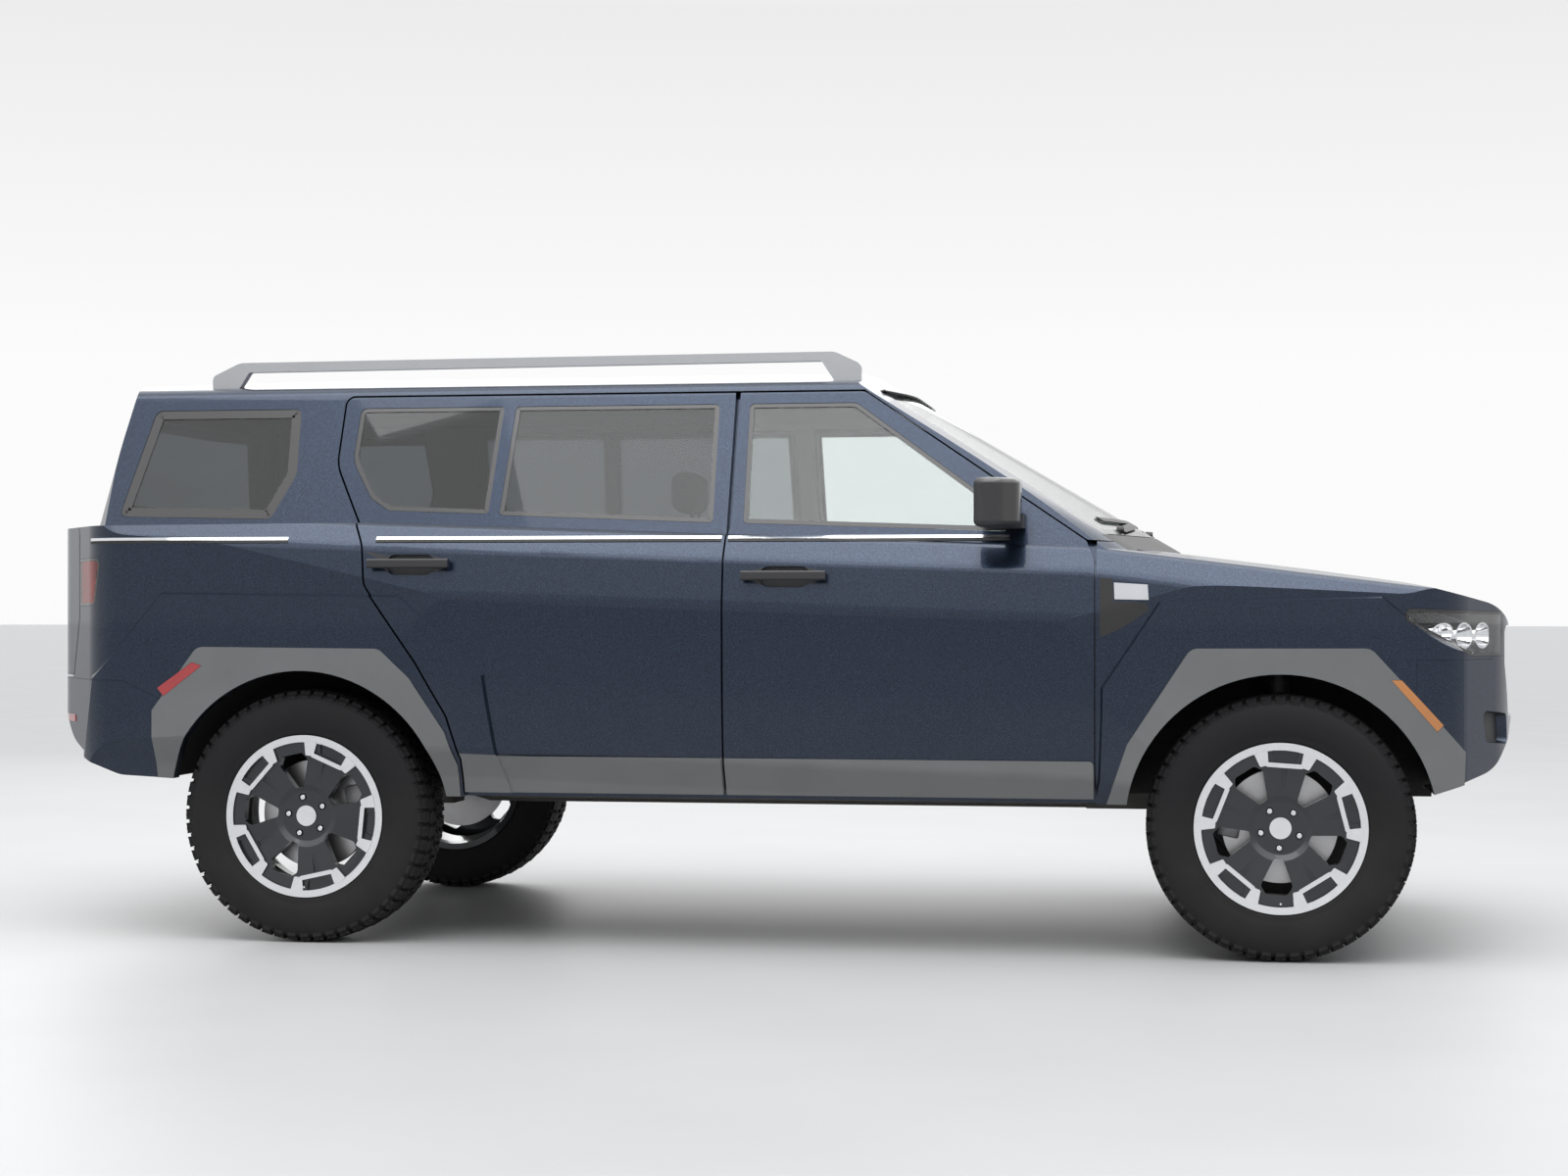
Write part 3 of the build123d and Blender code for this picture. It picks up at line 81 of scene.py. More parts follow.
# %% [markdown]
# ## Studio
# Car paint shows what surrounds it, so the studio is part of the finish.  A pale floor, an even pale
# world and three large soft lamps, overhead and to both sides, give long quiet highlights.
# The world has two faces: light that falls on the car comes from an even grey-white dome, while the
# camera, mirrors and glass see a backdrop that is bright at the horizon, a little darker above it, and
# brightest high up, where the shoulders of the body pick up an open sky.  Light Path picks between
# them without adding light to the object.

# %% Small helpers for shader trees
def node(tree, kind, at=(0, 0), **values):
    """A shader node with its inputs and properties set by name."""
    made = tree.nodes.new(kind)
    made.location = at
    for name, value in values.items():
        label = name.replace("_", " ")
        if label.title() in made.inputs:
            made.inputs[label.title()].default_value = value
        elif label in made.inputs:
            made.inputs[label].default_value = value
        else:
            setattr(made, name, value)
    return made


def wire(tree, *pairs):
    """Joins outputs to inputs, given in pairs."""
    for start, end in pairs:
        tree.links.new(start, end)


def ranged(tree, source, target, at=(0, 0)):
    """A clamped Map Range node from one span of values to another."""
    made = node(tree, "ShaderNodeMapRange", at, clamp=True)
    for label, value in zip(("From Min", "From Max", "To Min", "To Max"), (*source, *target)):
        made.inputs[label].default_value = value
    return made


def ramp(tree, low, high, at=(0, 0)):
    """A Color Ramp node between two colours."""
    made = node(tree, "ShaderNodeValToRGB", at)
    for element, colour in zip(made.color_ramp.elements, (low, high)):
        element.color = (*colour, 1)
    return made


def material(name, **values):
    """A new material, its tree and its Principled shader, with that shader's inputs set by label."""
    made = bpy.data.materials.new(name)
    made.use_nodes = True
    shade = made.node_tree.nodes["Principled BSDF"]
    for label, value in values.items():
        shade.inputs[label.replace("_", " ")].default_value = value
    return made, made.node_tree, shade


def scene_link(name, data):
    """A new object for some data, linked to the scene."""
    made = bpy.data.objects.new(name, data)
    bpy.context.scene.collection.objects.link(made)
    return made


# %% World
scene = bpy.context.scene
scene.view_settings.view_transform = "Standard"
world = bpy.data.worlds.new("studio_world")
scene.world = world
world.use_nodes = True
sky = world.node_tree
sky.nodes.clear()
light_path = node(sky, "ShaderNodeLightPath")
direction = node(sky, "ShaderNodeTexCoord")
height = node(sky, "ShaderNodeSeparateXYZ")
dome = ranged(sky, (-0.1, 0.9), (0.46, 1.20))
backdrop = ranged(sky, (0.09, 0.26), (0.97, 0.80))
canopy = ranged(sky, (0.22, 0.40), (0.0, 1.3))
open_sky = node(sky, "ShaderNodeMath", operation="ADD")
even = node(sky, "ShaderNodeBackground", Color=(0.80, 0.82, 0.85, 1))
seen = node(sky, "ShaderNodeBackground", Color=(1.0, 1.0, 1.0, 1))
straight = node(sky, "ShaderNodeMath", operation="MAXIMUM")
looked_at = node(sky, "ShaderNodeMath", operation="MAXIMUM")
mix = node(sky, "ShaderNodeMixShader")
out = node(sky, "ShaderNodeOutputWorld")
wire(sky,
     (direction.outputs["Generated"], height.inputs["Vector"]),
     *((height.outputs["Z"], each.inputs["Value"]) for each in (dome, backdrop, canopy)),
     (backdrop.outputs["Result"], open_sky.inputs[0]),
     (canopy.outputs["Result"], open_sky.inputs[1]),
     (dome.outputs["Result"], even.inputs["Strength"]),
     (open_sky.outputs[0], seen.inputs["Strength"]),
     (light_path.outputs["Is Camera Ray"], straight.inputs[0]),
     (light_path.outputs["Is Transmission Ray"], straight.inputs[1]),
     (light_path.outputs["Is Glossy Ray"], looked_at.inputs[0]),
     (straight.outputs[0], looked_at.inputs[1]),
     (looked_at.outputs[0], mix.inputs["Fac"]),
     (even.outputs[0], mix.inputs[1]),
     (seen.outputs[0], mix.inputs[2]),
     (mix.outputs[0], out.inputs["Surface"]))


# %% Lamps
def soft_lamp(name, place, aim, size, watts):
    """A large rectangular lamp that points at a place on the vehicle."""
    lamp = scene_link(name, bpy.data.lights.new(name, "AREA"))
    lamp.data.shape = "RECTANGLE"
    lamp.data.size, lamp.data.size_y = size
    lamp.data.energy = watts
    lamp.location = place
    lamp.rotation_euler = (Vector(aim) - Vector(place)).to_track_quat("-Z", "Y").to_euler()
    return lamp


soft_lamp("overhead_lamp", (0.4, -1.6, 6.5), (0, -0.4, 0), (9.0, 4.5), 340)
soft_lamp("near_side_lamp", (1.5, -6.0, 7.0), (0, -0.6, 1.2), (9.0, 3.5), 200)
soft_lamp("far_side_lamp", (-3.5, 8.0, 5.0), (0, 0, 0.8), (9.0, 4.0), 150)
print("lamps", [o.name for o in scene.objects if o.type == "LIGHT"])

# %% Floor
FLOOR_REACH = 140
floor_mesh = bmesh.new()
bmesh.ops.create_grid(floor_mesh, x_segments=1, y_segments=1, size=FLOOR_REACH)
floor = scene_link("studio_floor", bpy.data.meshes.new("studio_floor"))
floor_mesh.to_mesh(floor.data)
floor_mesh.free()
floor_finish, tree, shade = material("pale_floor", Roughness=0.45)
place = node(tree, "ShaderNodeTexCoord")
cloudy = node(tree, "ShaderNodeTexNoise", Scale=1.4, Detail=6)
tones = ramp(tree, (0.45,) * 3, (0.51,) * 3)
wire(tree,
     (place.outputs["Object"], cloudy.inputs["Vector"]),
     (cloudy.outputs["Fac"], tones.inputs["Fac"]),
     (tones.outputs["Color"], shade.inputs["Base Color"]))
floor.data.materials.append(floor_finish)

# %% [markdown]
# ## Shared surface effects
# Real finishes are never one flat colour.  Four effects turn up in many of them, so each is built
# once as a shader group with named inputs and outputs, and placed in the materials with its own values:
# moulded grain on plastics, metal flake in paint, a woven cloth, and a film of road dust that is heavier
# low down on the body.

# %% Helper that starts a shader group
NUMBER, COLOUR, DIRECTION = "NodeSocketFloat", "NodeSocketColor", "NodeSocketVector"


def shader_group(name, inputs, outputs):
    """An empty shader group with named sockets: inputs are (name, kind, value), outputs (name, kind)."""
    tree = bpy.data.node_groups.new(name, "ShaderNodeTree")
    for label, kind, value in inputs:
        socket = tree.interface.new_socket(name=label, in_out="INPUT", socket_type=kind)
        socket.default_value = value
    for label, kind in outputs:
        tree.interface.new_socket(name=label, in_out="OUTPUT", socket_type=kind)
    given, asked = tree.nodes.new("NodeGroupInput"), tree.nodes.new("NodeGroupOutput")
    return tree, given.outputs, asked.inputs, node(tree, "ShaderNodeTexCoord").outputs["Object"]


# %% Moulded grain
grain_group, given, asked, coord = shader_group(
    "moulded_grain", [("Scale", NUMBER, 400.0), ("Depth", NUMBER, 0.25)],
    [("Normal", DIRECTION), ("Mask", NUMBER)])
cells = node(grain_group, "ShaderNodeTexVoronoi", feature="F1")
bump = node(grain_group, "ShaderNodeBump", Distance=0.0006)
wire(grain_group,
     (coord, cells.inputs["Vector"]),
     (given["Scale"], cells.inputs["Scale"]),
     (cells.outputs["Distance"], bump.inputs["Height"]),
     (given["Depth"], bump.inputs["Strength"]),
     (bump.outputs["Normal"], asked["Normal"]),
     (cells.outputs["Distance"], asked["Mask"]))

# %% Metal flake and the faint ripple of sprayed paint
flake_group, given, asked, coord = shader_group(
    "paint_flake", [("Base", COLOUR, (0.05, 0.08, 0.14, 1)), ("Flake", COLOUR, (0.2, 0.28, 0.4, 1)),
                    ("Scale", NUMBER, 900.0), ("Ripple", NUMBER, 0.05)],
    [("Color", COLOUR), ("Normal", DIRECTION)])
sparkle = node(flake_group, "ShaderNodeTexVoronoi", feature="F1")
pick = node(flake_group, "ShaderNodeSeparateColor")
flake_share = node(flake_group, "ShaderNodeMath", operation="POWER")
flake_share.inputs[1].default_value = 3.0
tint = node(flake_group, "ShaderNodeMix", data_type="RGBA")
ripple = node(flake_group, "ShaderNodeTexNoise", Scale=60.0, Detail=2)
bump = node(flake_group, "ShaderNodeBump", Distance=0.0004)
wire(flake_group,
     (coord, sparkle.inputs["Vector"]),
     (given["Scale"], sparkle.inputs["Scale"]),
     (sparkle.outputs["Color"], pick.inputs["Color"]),
     (pick.outputs["Red"], flake_share.inputs[0]),
     (flake_share.outputs[0], tint.inputs["Factor"]),
     (given["Base"], tint.inputs["A"]),
     (given["Flake"], tint.inputs["B"]),
     (tint.outputs["Result"], asked["Color"]),
     (coord, ripple.inputs["Vector"]),
     (ripple.outputs["Fac"], bump.inputs["Height"]),
     (given["Ripple"], bump.inputs["Strength"]),
     (bump.outputs["Normal"], asked["Normal"]))

# %% Road dust, heavier towards the ground
dust_group, given, asked, coord = shader_group(
    "road_dust", [("Color", COLOUR, (0.1, 0.1, 0.1, 1)), ("Roughness", NUMBER, 0.4),
                  ("Dust", COLOUR, (0.30, 0.28, 0.25, 1)), ("Top", NUMBER, 0.75), ("Amount", NUMBER, 0.35)],
    [("Color", COLOUR), ("Roughness", NUMBER), ("Mask", NUMBER)])
height = node(dust_group, "ShaderNodeSeparateXYZ")
low = ranged(dust_group, (0.25, 1.0), (1.0, 0.0))
speckle = node(dust_group, "ShaderNodeTexNoise", Scale=9.0, Detail=8)
patch = node(dust_group, "ShaderNodeMath", operation="MULTIPLY")
share = node(dust_group, "ShaderNodeMath", operation="MULTIPLY")
tint = node(dust_group, "ShaderNodeMix", data_type="RGBA")
rough = node(dust_group, "ShaderNodeMix", data_type="FLOAT")
rough.inputs["B"].default_value = 0.85
wire(dust_group,
     (coord, height.inputs["Vector"]),
     (height.outputs["Z"], low.inputs["Value"]),
     (given["Top"], low.inputs["From Max"]),
     (coord, speckle.inputs["Vector"]),
     (low.outputs["Result"], patch.inputs[0]),
     (speckle.outputs["Fac"], patch.inputs[1]),
     (patch.outputs[0], share.inputs[0]),
     (given["Amount"], share.inputs[1]),
     (share.outputs[0], tint.inputs["Factor"]),
     (given["Color"], tint.inputs["A"]),
     (given["Dust"], tint.inputs["B"]),
     (share.outputs[0], rough.inputs["Factor"]),
     (given["Roughness"], rough.inputs["A"]),
     (tint.outputs["Result"], asked["Color"]),
     (rough.outputs["Result"], asked["Roughness"]),
     (share.outputs[0], asked["Mask"]))

# %% Woven cloth
weave_group, given, asked, coord = shader_group(
    "woven_cloth", [("Color", COLOUR, (0.06, 0.06, 0.065, 1)), ("Thread", COLOUR, (0.12, 0.12, 0.13, 1)),
                    ("Scale", NUMBER, 420.0)],
    [("Color", COLOUR), ("Normal", DIRECTION)])
waves = [node(weave_group, "ShaderNodeTexWave", bands_direction=bands) for bands in ("Y", "DIAGONAL")]
threads = node(weave_group, "ShaderNodeMath", operation="MAXIMUM")
tint = node(weave_group, "ShaderNodeMix", data_type="RGBA")
bump = node(weave_group, "ShaderNodeBump", Strength=0.35, Distance=0.0008)
for wave, side in zip(waves, threads.inputs):
    wire(weave_group, (coord, wave.inputs["Vector"]), (given["Scale"], wave.inputs["Scale"]),
         (wave.outputs["Fac"], side))
wire(weave_group,
     (threads.outputs[0], tint.inputs["Factor"]),
     (given["Color"], tint.inputs["A"]),
     (given["Thread"], tint.inputs["B"]),
     (threads.outputs[0], bump.inputs["Height"]),
     (tint.outputs["Result"], asked["Color"]),
     (bump.outputs["Normal"], asked["Normal"]))

# %% [markdown]
# ## Finishes
# Most of the vehicle is one of about two dozen finishes.  `finish` makes a material with the Principled
# shader and sets what is even over the surface; what varies comes from the groups above.

# %% Finish maker
def finish(name, colour, roughness=0.5, metallic=0.0, grain=None, dust=None, noise_scale=6.0, vary=0.12,
           **sockets):
    """A material whose colour drifts a little over the surface, with moulded grain and road dust if asked."""
    made, tree, shade = material(name, Metallic=metallic, Roughness=roughness, **sockets)
    coord = node(tree, "ShaderNodeTexCoord", (-1000, 0))
    drift = node(tree, "ShaderNodeTexNoise", (-800, 0), Scale=noise_scale, Detail=5)
    tones = ramp(tree, [c * (1 - vary) for c in colour], [min(1, c * (1 + vary)) for c in colour], (-600, 0))
    wire(tree, (coord.outputs["Object"], drift.inputs["Vector"]), (drift.outputs["Fac"], tones.inputs["Fac"]))
    colour_from = tones.outputs["Color"]
    if dust:
        film = node(tree, "ShaderNodeGroup", (-300, 0), node_tree=dust_group)
        for label, value in zip(("Roughness", "Top", "Amount"), (roughness, *dust)):
            film.inputs[label].default_value = value
        wire(tree, (colour_from, film.inputs["Color"]),
             (film.outputs["Roughness"], shade.inputs["Roughness"]))
        colour_from = film.outputs["Color"]
    wire(tree, (colour_from, shade.inputs["Base Color"]))
    if grain:
        skin = node(tree, "ShaderNodeGroup", (-300, -300), node_tree=grain_group)
        skin.inputs["Scale"].default_value, skin.inputs["Depth"].default_value = grain
        wire(tree, (skin.outputs["Normal"], shade.inputs["Normal"]))
    return made


# %% Body paint
PAINT_ROUGHNESS = 0.30


def body_paint():
    """Dark blue metallic paint under a clear coat."""
    made, tree, shade = material("body_paint", Metallic=0.75, Roughness=PAINT_ROUGHNESS, Coat_Weight=0.4,
                                 Coat_Roughness=0.03)
    flake = node(tree, "ShaderNodeGroup", (-600, 0), node_tree=flake_group)
    film = node(tree, "ShaderNodeGroup", (-300, 0), node_tree=dust_group)
    for socket, value in ((flake.inputs["Base"], (0.007, 0.012, 0.025, 1)),
                          (flake.inputs["Flake"], (0.034, 0.058, 0.104, 1)), (flake.inputs["Ripple"], 0.04),
                          (film.inputs["Roughness"], PAINT_ROUGHNESS), (film.inputs["Top"], 0.95),
                          (film.inputs["Amount"], 0.06)):
        socket.default_value = value
    wire(tree,
         (flake.outputs["Color"], film.inputs["Color"]),
         (film.outputs["Color"], shade.inputs["Base Color"]),
         (film.outputs["Roughness"], shade.inputs["Roughness"]),
         (flake.outputs["Normal"], shade.inputs["Normal"]))
    return made


# %% Glass and lenses
def clear_finish(name, colour, roughness=0.0, ior=1.45):
    """See-through glass or lens plastic with faint smears that catch the light."""
    made, tree, shade = material(name, Transmission_Weight=1.0, IOR=ior)
    coord = node(tree, "ShaderNodeTexCoord", (-900, 0))
    smear = node(tree, "ShaderNodeTexNoise", (-700, 0), Scale=3.0, Detail=6)
    tones = ramp(tree, [c * 0.96 for c in colour], colour, (-500, 0))
    blur = ranged(tree, (0, 1), (roughness, roughness + 0.03), (-500, -250))
    wire(tree,
         (coord.outputs["Object"], smear.inputs["Vector"]),
         (smear.outputs["Fac"], tones.inputs["Fac"]),
         (smear.outputs["Fac"], blur.inputs["Value"]),
         (tones.outputs["Color"], shade.inputs["Base Color"]),
         (blur.outputs["Result"], shade.inputs["Roughness"]))
    return made


# %% Seat cloth
def cloth_finish(name, colour, thread):
    """Woven cloth with a soft sheen at grazing angles."""
    made, tree, shade = material(name, Roughness=0.9, Sheen_Weight=0.3)
    cloth = node(tree, "ShaderNodeGroup", (-300, 0), node_tree=weave_group)
    cloth.inputs["Color"].default_value = (*colour, 1)
    cloth.inputs["Thread"].default_value = (*thread, 1)
    wire(tree, (cloth.outputs["Color"], shade.inputs["Base Color"]),
         (cloth.outputs["Normal"], shade.inputs["Normal"]))
    return made


# %% The set of finishes
paint = body_paint()
cladding = finish("grey_cladding", (0.135, 0.14, 0.143), 0.62, grain=(900, 0.35), dust=(0.8, 0.25))
black_plastic = finish("black_plastic", (0.018, 0.018, 0.020), 0.5, grain=(700, 0.3), dust=(0.6, 0.2))
gloss_black = finish("gloss_black", (0.010, 0.010, 0.012), 0.24, Coat_Weight=0.4)
rubber = finish("seal_rubber", (0.012, 0.012, 0.012), 0.7, grain=(500, 0.2))
tyre_rubber = finish("tyre_rubber", (0.008, 0.008, 0.009), 0.75, grain=(350, 0.35), dust=(0.5, 0.05),
                     Specular_IOR_Level=0.25)
liner_felt = finish("arch_liner", (0.008, 0.008, 0.008), 0.95, grain=(250, 0.8), dust=(0.7, 0.10))
dark_alloy = finish("dark_alloy", (0.022, 0.024, 0.028), 0.3, 0.6, Coat_Weight=0.6)
machined = finish("machined_alloy", (0.72, 0.73, 0.75), 0.26, 1.0, noise_scale=40, vary=0.06)
disc_iron = finish("disc_iron", (0.50, 0.50, 0.51), 0.32, 0.9, noise_scale=30, dust=(0.6, 0.1))
rail_metal = finish("roof_rail_metal", (0.42, 0.43, 0.45), 0.35, 0.9, noise_scale=20, vary=0.05)
bright = finish("bright_moulding", (0.75, 0.76, 0.78), 0.14, 1.0, noise_scale=15, vary=0.05)
reflector = finish("lamp_reflector", (0.88, 0.88, 0.89), 0.05, 1.0, noise_scale=25, vary=0.03)
underseal = finish("underseal", (0.035, 0.035, 0.036), 0.85, grain=(180, 0.7), dust=(0.9, 0.4))
chassis = finish("chassis_paint", (0.03, 0.03, 0.03), 0.5, 0.3, grain=(300, 0.3), dust=(0.8, 0.4))
cast_metal = finish("cast_metal", (0.30, 0.30, 0.31), 0.5, 0.8, grain=(220, 0.6))
pipe_steel = finish("exhaust_steel", (0.26, 0.25, 0.24), 0.42, 0.9, dust=(0.8, 0.3))
headlining = finish("headlining", (0.30, 0.295, 0.29), 0.9, grain=(1200, 0.5))
carpet = finish("carpet", (0.030, 0.030, 0.032), 0.95, grain=(600, 1.0))
cabin_plastic = finish("cabin_plastic", (0.035, 0.036, 0.038), 0.55, grain=(800, 0.4))
screen_glass = finish("blank_screen", (0.006, 0.007, 0.009), 0.08, Coat_Weight=1.0)
mirror_silver = finish("mirror_silver", (0.86, 0.87, 0.88), 0.02, 1.0, noise_scale=2, vary=0.02)
seat_cloth = cloth_finish("seat_cloth", (0.030, 0.031, 0.034), (0.075, 0.077, 0.082))
front_glass = clear_finish("window_glass", (0.78, 0.83, 0.82))
privacy_glass = clear_finish("privacy_glass", (0.20, 0.22, 0.23))
lens_clear = clear_finish("clear_lens", (0.95, 0.96, 0.97), ior=1.4)
lens_red = clear_finish("red_lens", (0.72, 0.02, 0.02), roughness=0.05)
marker_red = finish("red_marker", (0.36, 0.020, 0.024), 0.18, Coat_Weight=1.0, grain=(140, 0.3))
marker_amber = finish("amber_marker", (0.50, 0.19, 0.045), 0.18, Coat_Weight=1.0, grain=(140, 0.3))
print("materials", len(bpy.data.materials))

# %% [markdown]
# ## Finishes on the construction pieces
# A piece may carry several finishes: a door is painted outside, trimmed inside, and has a bare strip
# along its foot.  `dress` clears a piece's slots, appends its finishes and asks a rule for the slot of
# each face, from the face's middle, the way it faces and the solid that it belongs to.
# The faces of a construction piece are loose triangles, so the solids are found by joining the triangles
# that share a corner.

# %% Find the solid that each face belongs to
def solid_boxes(mesh):
    """For each face, the lowest and highest corner of the separate solid that it belongs to."""
    corners = [tuple(round(c, 5) for c in vertex.co) for vertex in mesh.vertices]
    leader = {corner: corner for corner in corners}

    def lead(corner):
        while leader[corner] != corner:
            leader[corner] = leader[leader[corner]]
            corner = leader[corner]
        return corner

    for face in mesh.polygons:
        first = lead(corners[face.vertices[0]])
        for other in face.vertices[1:]:
            leader[lead(corners[other])] = first
    spans = {}
    for corner in leader:
        low, high = spans.setdefault(lead(corner), (list(corner), list(corner)))
        low[:] = map(min, low, corner)
        high[:] = map(max, high, corner)
    return [spans[lead(corners[face.vertices[0]])] for face in mesh.polygons]


# %% Dress a piece
Facet = namedtuple("Facet", "middle normal corners low high")


def dress(name, finishes, rule=None):
    """Gives a construction piece its finishes; rule(facet) picks the slot of each face."""
    mesh = nodes[name].data
    mesh.materials.clear()
    for each in finishes:
        mesh.materials.append(each)
    if rule is None:
        mesh.polygons.foreach_set("material_index", [0] * len(mesh.polygons))
        return
    for face, (low, high) in zip(mesh.polygons, solid_boxes(mesh)):
        corners = [mesh.vertices[index].co for index in face.vertices]
        face.material_index = rule(Facet(face.center, face.normal, corners, low, high))


# %% [markdown]
# The rules below are short questions about place and direction.  A door's foot below the sill line is bare
# cladding; its handle stands out past the skin; what faces the cabin is trim.  On a wheel, only what was
# cut on a lathe after painting is bright: the outermost flats of the spoke pads, the chords that join them
# and the rim flange, all of which lie further out than the dished face.

# %% Doors, sides, lids and bumpers
SILL_TOP, BELT_INSIDE = 0.5705, 1.2
SKIN_Y, HANDLE_Y, TRIM_Y = 0.86, 0.905, 0.80
DOOR_HANDLES = {"front": (0.26, 0.03, 1.082, 1.130), "rear": (-0.88, -1.10, 1.120, 1.168)}
GLASS = {"front": front_glass, "rear": privacy_glass}


def door_rule(side, handle):
    """Painted skin, bare strip at the foot, black handle, trimmed inner face."""
    front, rear, handle_foot, handle_top = handle

    def rule(facet):
        x, y, z = facet.middle
        if z < SILL_TOP and abs(y) > SKIN_Y:
            return 1
        if abs(y) > HANDLE_Y and rear < x < front and handle_foot < z < handle_top:
            return 2
        if facet.normal.y * side < -0.4 or abs(y) < TRIM_Y and z < BELT_INSIDE:
            return 3
        return 0
    return rule


def side_rule(side):
    """Painted outside, cloth-lined above the belt inside, underseal below it."""
    def rule(facet):
        if facet.normal.y * side > -0.4:
            return 0
        return 1 if facet.middle.z > BELT_INSIDE else 2
    return rule


for hand, side in SIDES.items():
    for end, handle in DOOR_HANDLES.items():
        dress(f"{end}_door_{hand}", [paint, cladding, black_plastic, cabin_plastic], door_rule(side, handle))
        dress(f"{end}_door_glass_{hand}", [GLASS[end]])
    dress(f"mirror_{hand}", [gloss_black, black_plastic],
          lambda facet: 1 if facet.middle.z < 1.275 or facet.middle.x < 0.74 else 0)
    dress(f"body_side_{hand}", [paint, headlining, underseal], side_rule(side))
    dress(f"steering_knuckle_{hand}", [cast_metal])
dress("roof_panel", [paint, headlining], lambda facet: 1 if facet.normal.z < -0.5 else 0)
dress("tailgate", [paint, cabin_plastic], lambda facet: 1 if facet.normal.x > 0.4 else 0)
dress("bonnet", [paint, underseal], lambda facet: 1 if facet.normal.z < -0.3 else 0)
dress("front_fenders", [paint, underseal],
      lambda facet: 1 if facet.normal.y * facet.middle.y < -0.4 * abs(facet.middle.y) else 0)
dress("front_bumper", [paint, black_plastic], lambda facet: 1 if facet.normal.z < -0.6 else 0)
dress("rear_bumper", [paint, black_plastic], lambda facet: 1 if facet.normal.z < -0.6
      or 0.735 < facet.middle.z and facet.middle.x > -2.274 and abs(facet.middle.y) < 0.605 else 0)

# %% Wheels
RING_FACE = 0.1095
CAP_RADIUS, CAP_FACE = 0.033, 0.086


def rim_rule(centre):
    """Lathe-cut flats in bare metal, the rest in dark paint, the cap in the middle bright."""
    def rule(facet):
        out = abs(facet.middle.y) - abs(centre.y)
        radius = math.hypot(facet.middle.x - centre.x, facet.middle.z - centre.z)
        if abs(facet.normal.y) > 0.7 and (out > RING_FACE or radius < CAP_RADIUS and out > CAP_FACE):
            return 1
        return 0
    return rule


wheel_centre = {}
for hand in SIDES:
    for end in ("front", "rear"):
        low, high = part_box(f"rim_{end}_{hand}")
        wheel_centre[end, hand] = (low + high) / 2
        dress(f"rim_{end}_{hand}", [dark_alloy, machined], rim_rule(wheel_centre[end, hand]))
        dress(f"brake_disc_{end}_{hand}", [disc_iron])
print("wheel centres", {key: [round(c, 3) for c in place] for key, place in wheel_centre.items()})

# %% [markdown]
# A lamp is a dark bowl, bright barrels and a thin lens, each its own solid.  The lens is the solid that
# lies inside the bowl's rim; the low marker lamps at the arches are solids of their own.

# %% Lamps, glass and the rest
def in_barrel(corners, barrels, radius):
    """Whether every corner lies in one of the open barrels, which run fore and aft."""
    return any(all(math.hypot(abs(corner.y) - y, corner.z - z) < radius + 0.002 for corner in corners)
               for y, z in barrels)


HEAD_BARRELS = ((0.640, 0.931), (0.725, 0.931), (0.800, 0.940))
TAIL_BARRELS = ((0.800, 1.080),)


def lamp_rule(barrels, radius, lens_top, marker_top):
    """Slots 0 bowl, 1 bright barrel, 2 lens, 3 marker."""
    def rule(facet):
        if facet.high[2] < marker_top:
            return 3
        if facet.high[2] < lens_top:
            return 2
        return 1 if in_barrel(facet.corners, barrels, radius) else 0
    return rule


dress("head_lamps", [gloss_black, reflector, lens_clear, marker_amber],
      lamp_rule(HEAD_BARRELS, 0.038, 1.005, 0.85))
dress("tail_lamps", [gloss_black, reflector, lens_red, marker_red],
      lamp_rule(TAIL_BARRELS, 0.032, 1.160, 0.90))
dress("grille", [black_plastic, gloss_black], lambda facet: 1 if facet.high[2] > 0.9 else 0)
dress("fixed_glass", [front_glass, privacy_glass], lambda facet: 1 if facet.middle.x < 0 else 0)
dress("floor_pan", [underseal, carpet], lambda facet: 1 if facet.normal.z > 0.5 else 0)
EVEN = {"arch_trims": cladding, "wheel_liners": liner_felt, "tailgate_glass": privacy_glass,
        "roof_rails": rail_metal, "cowl": black_plastic, "dashboard": cabin_plastic,
        "steering_wheel": cabin_plastic, "bulkhead": underseal, "engine_block": cast_metal,
        "subframes": chassis, "exhaust_system": pipe_steel}
for name, one_finish in EVEN.items():
    dress(name, [one_finish])
print("dressed", sum(len(o.data.materials) for o in nodes.values()), "finishes on", len(nodes), "pieces")

# %% [markdown]
# ## Making new pieces
# Small parts are built with bmesh operators and laid where the construction pieces say.  `piece` turns a
# finished bmesh into an object that rides on a body.  `skin` gathers some construction pieces into a tree
# that rays can be cast at, so that trim follows the panel under it instead of floating above it.  `block`
# and `cone` are the plain shapes and `turned` gives them a place; `copied_round` repeats a mesh about an
# axle, and `block_piece` makes a whole piece out of blocks.

# %% Piece and skin
def piece(name, mesh, finishes, body, sharp=35):
    """A finished new piece: its normals outward, its finishes and the body that it rides on."""
    bmesh.ops.recalc_face_normals(mesh, faces=mesh.faces)
    data = bpy.data.meshes.new(name)
    mesh.to_mesh(data)
    mesh.free()
    for each in finishes:
        data.materials.append(each)
    data.shade_smooth()
    data.set_sharp_from_angle(angle=math.radians(sharp))
    made = scene_link(name, data)
    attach(made, body)
    return made


def skin(*names):
    """A tree of the surfaces of some construction pieces, to lay trim on by casting rays."""
    mesh = bmesh.new()
    for name in names:
        mesh.from_mesh(nodes[name].data)
    tree = BVHTree.FromBMesh(mesh)
    mesh.free()
    return tree


def turned(place, degrees=0.0, axis="Y"):
    """A matrix that turns about an axis and then moves to a place."""
    return Matrix.Translation(place) @ Matrix.Rotation(math.radians(degrees), 4, axis)


def cone(mesh, place, foot, top, depth, segments):
    """A capped cone between two radii, or a rod where they are equal."""
    bmesh.ops.create_cone(mesh, cap_ends=True, segments=segments, radius1=foot, radius2=top, depth=depth,
                          matrix=place)


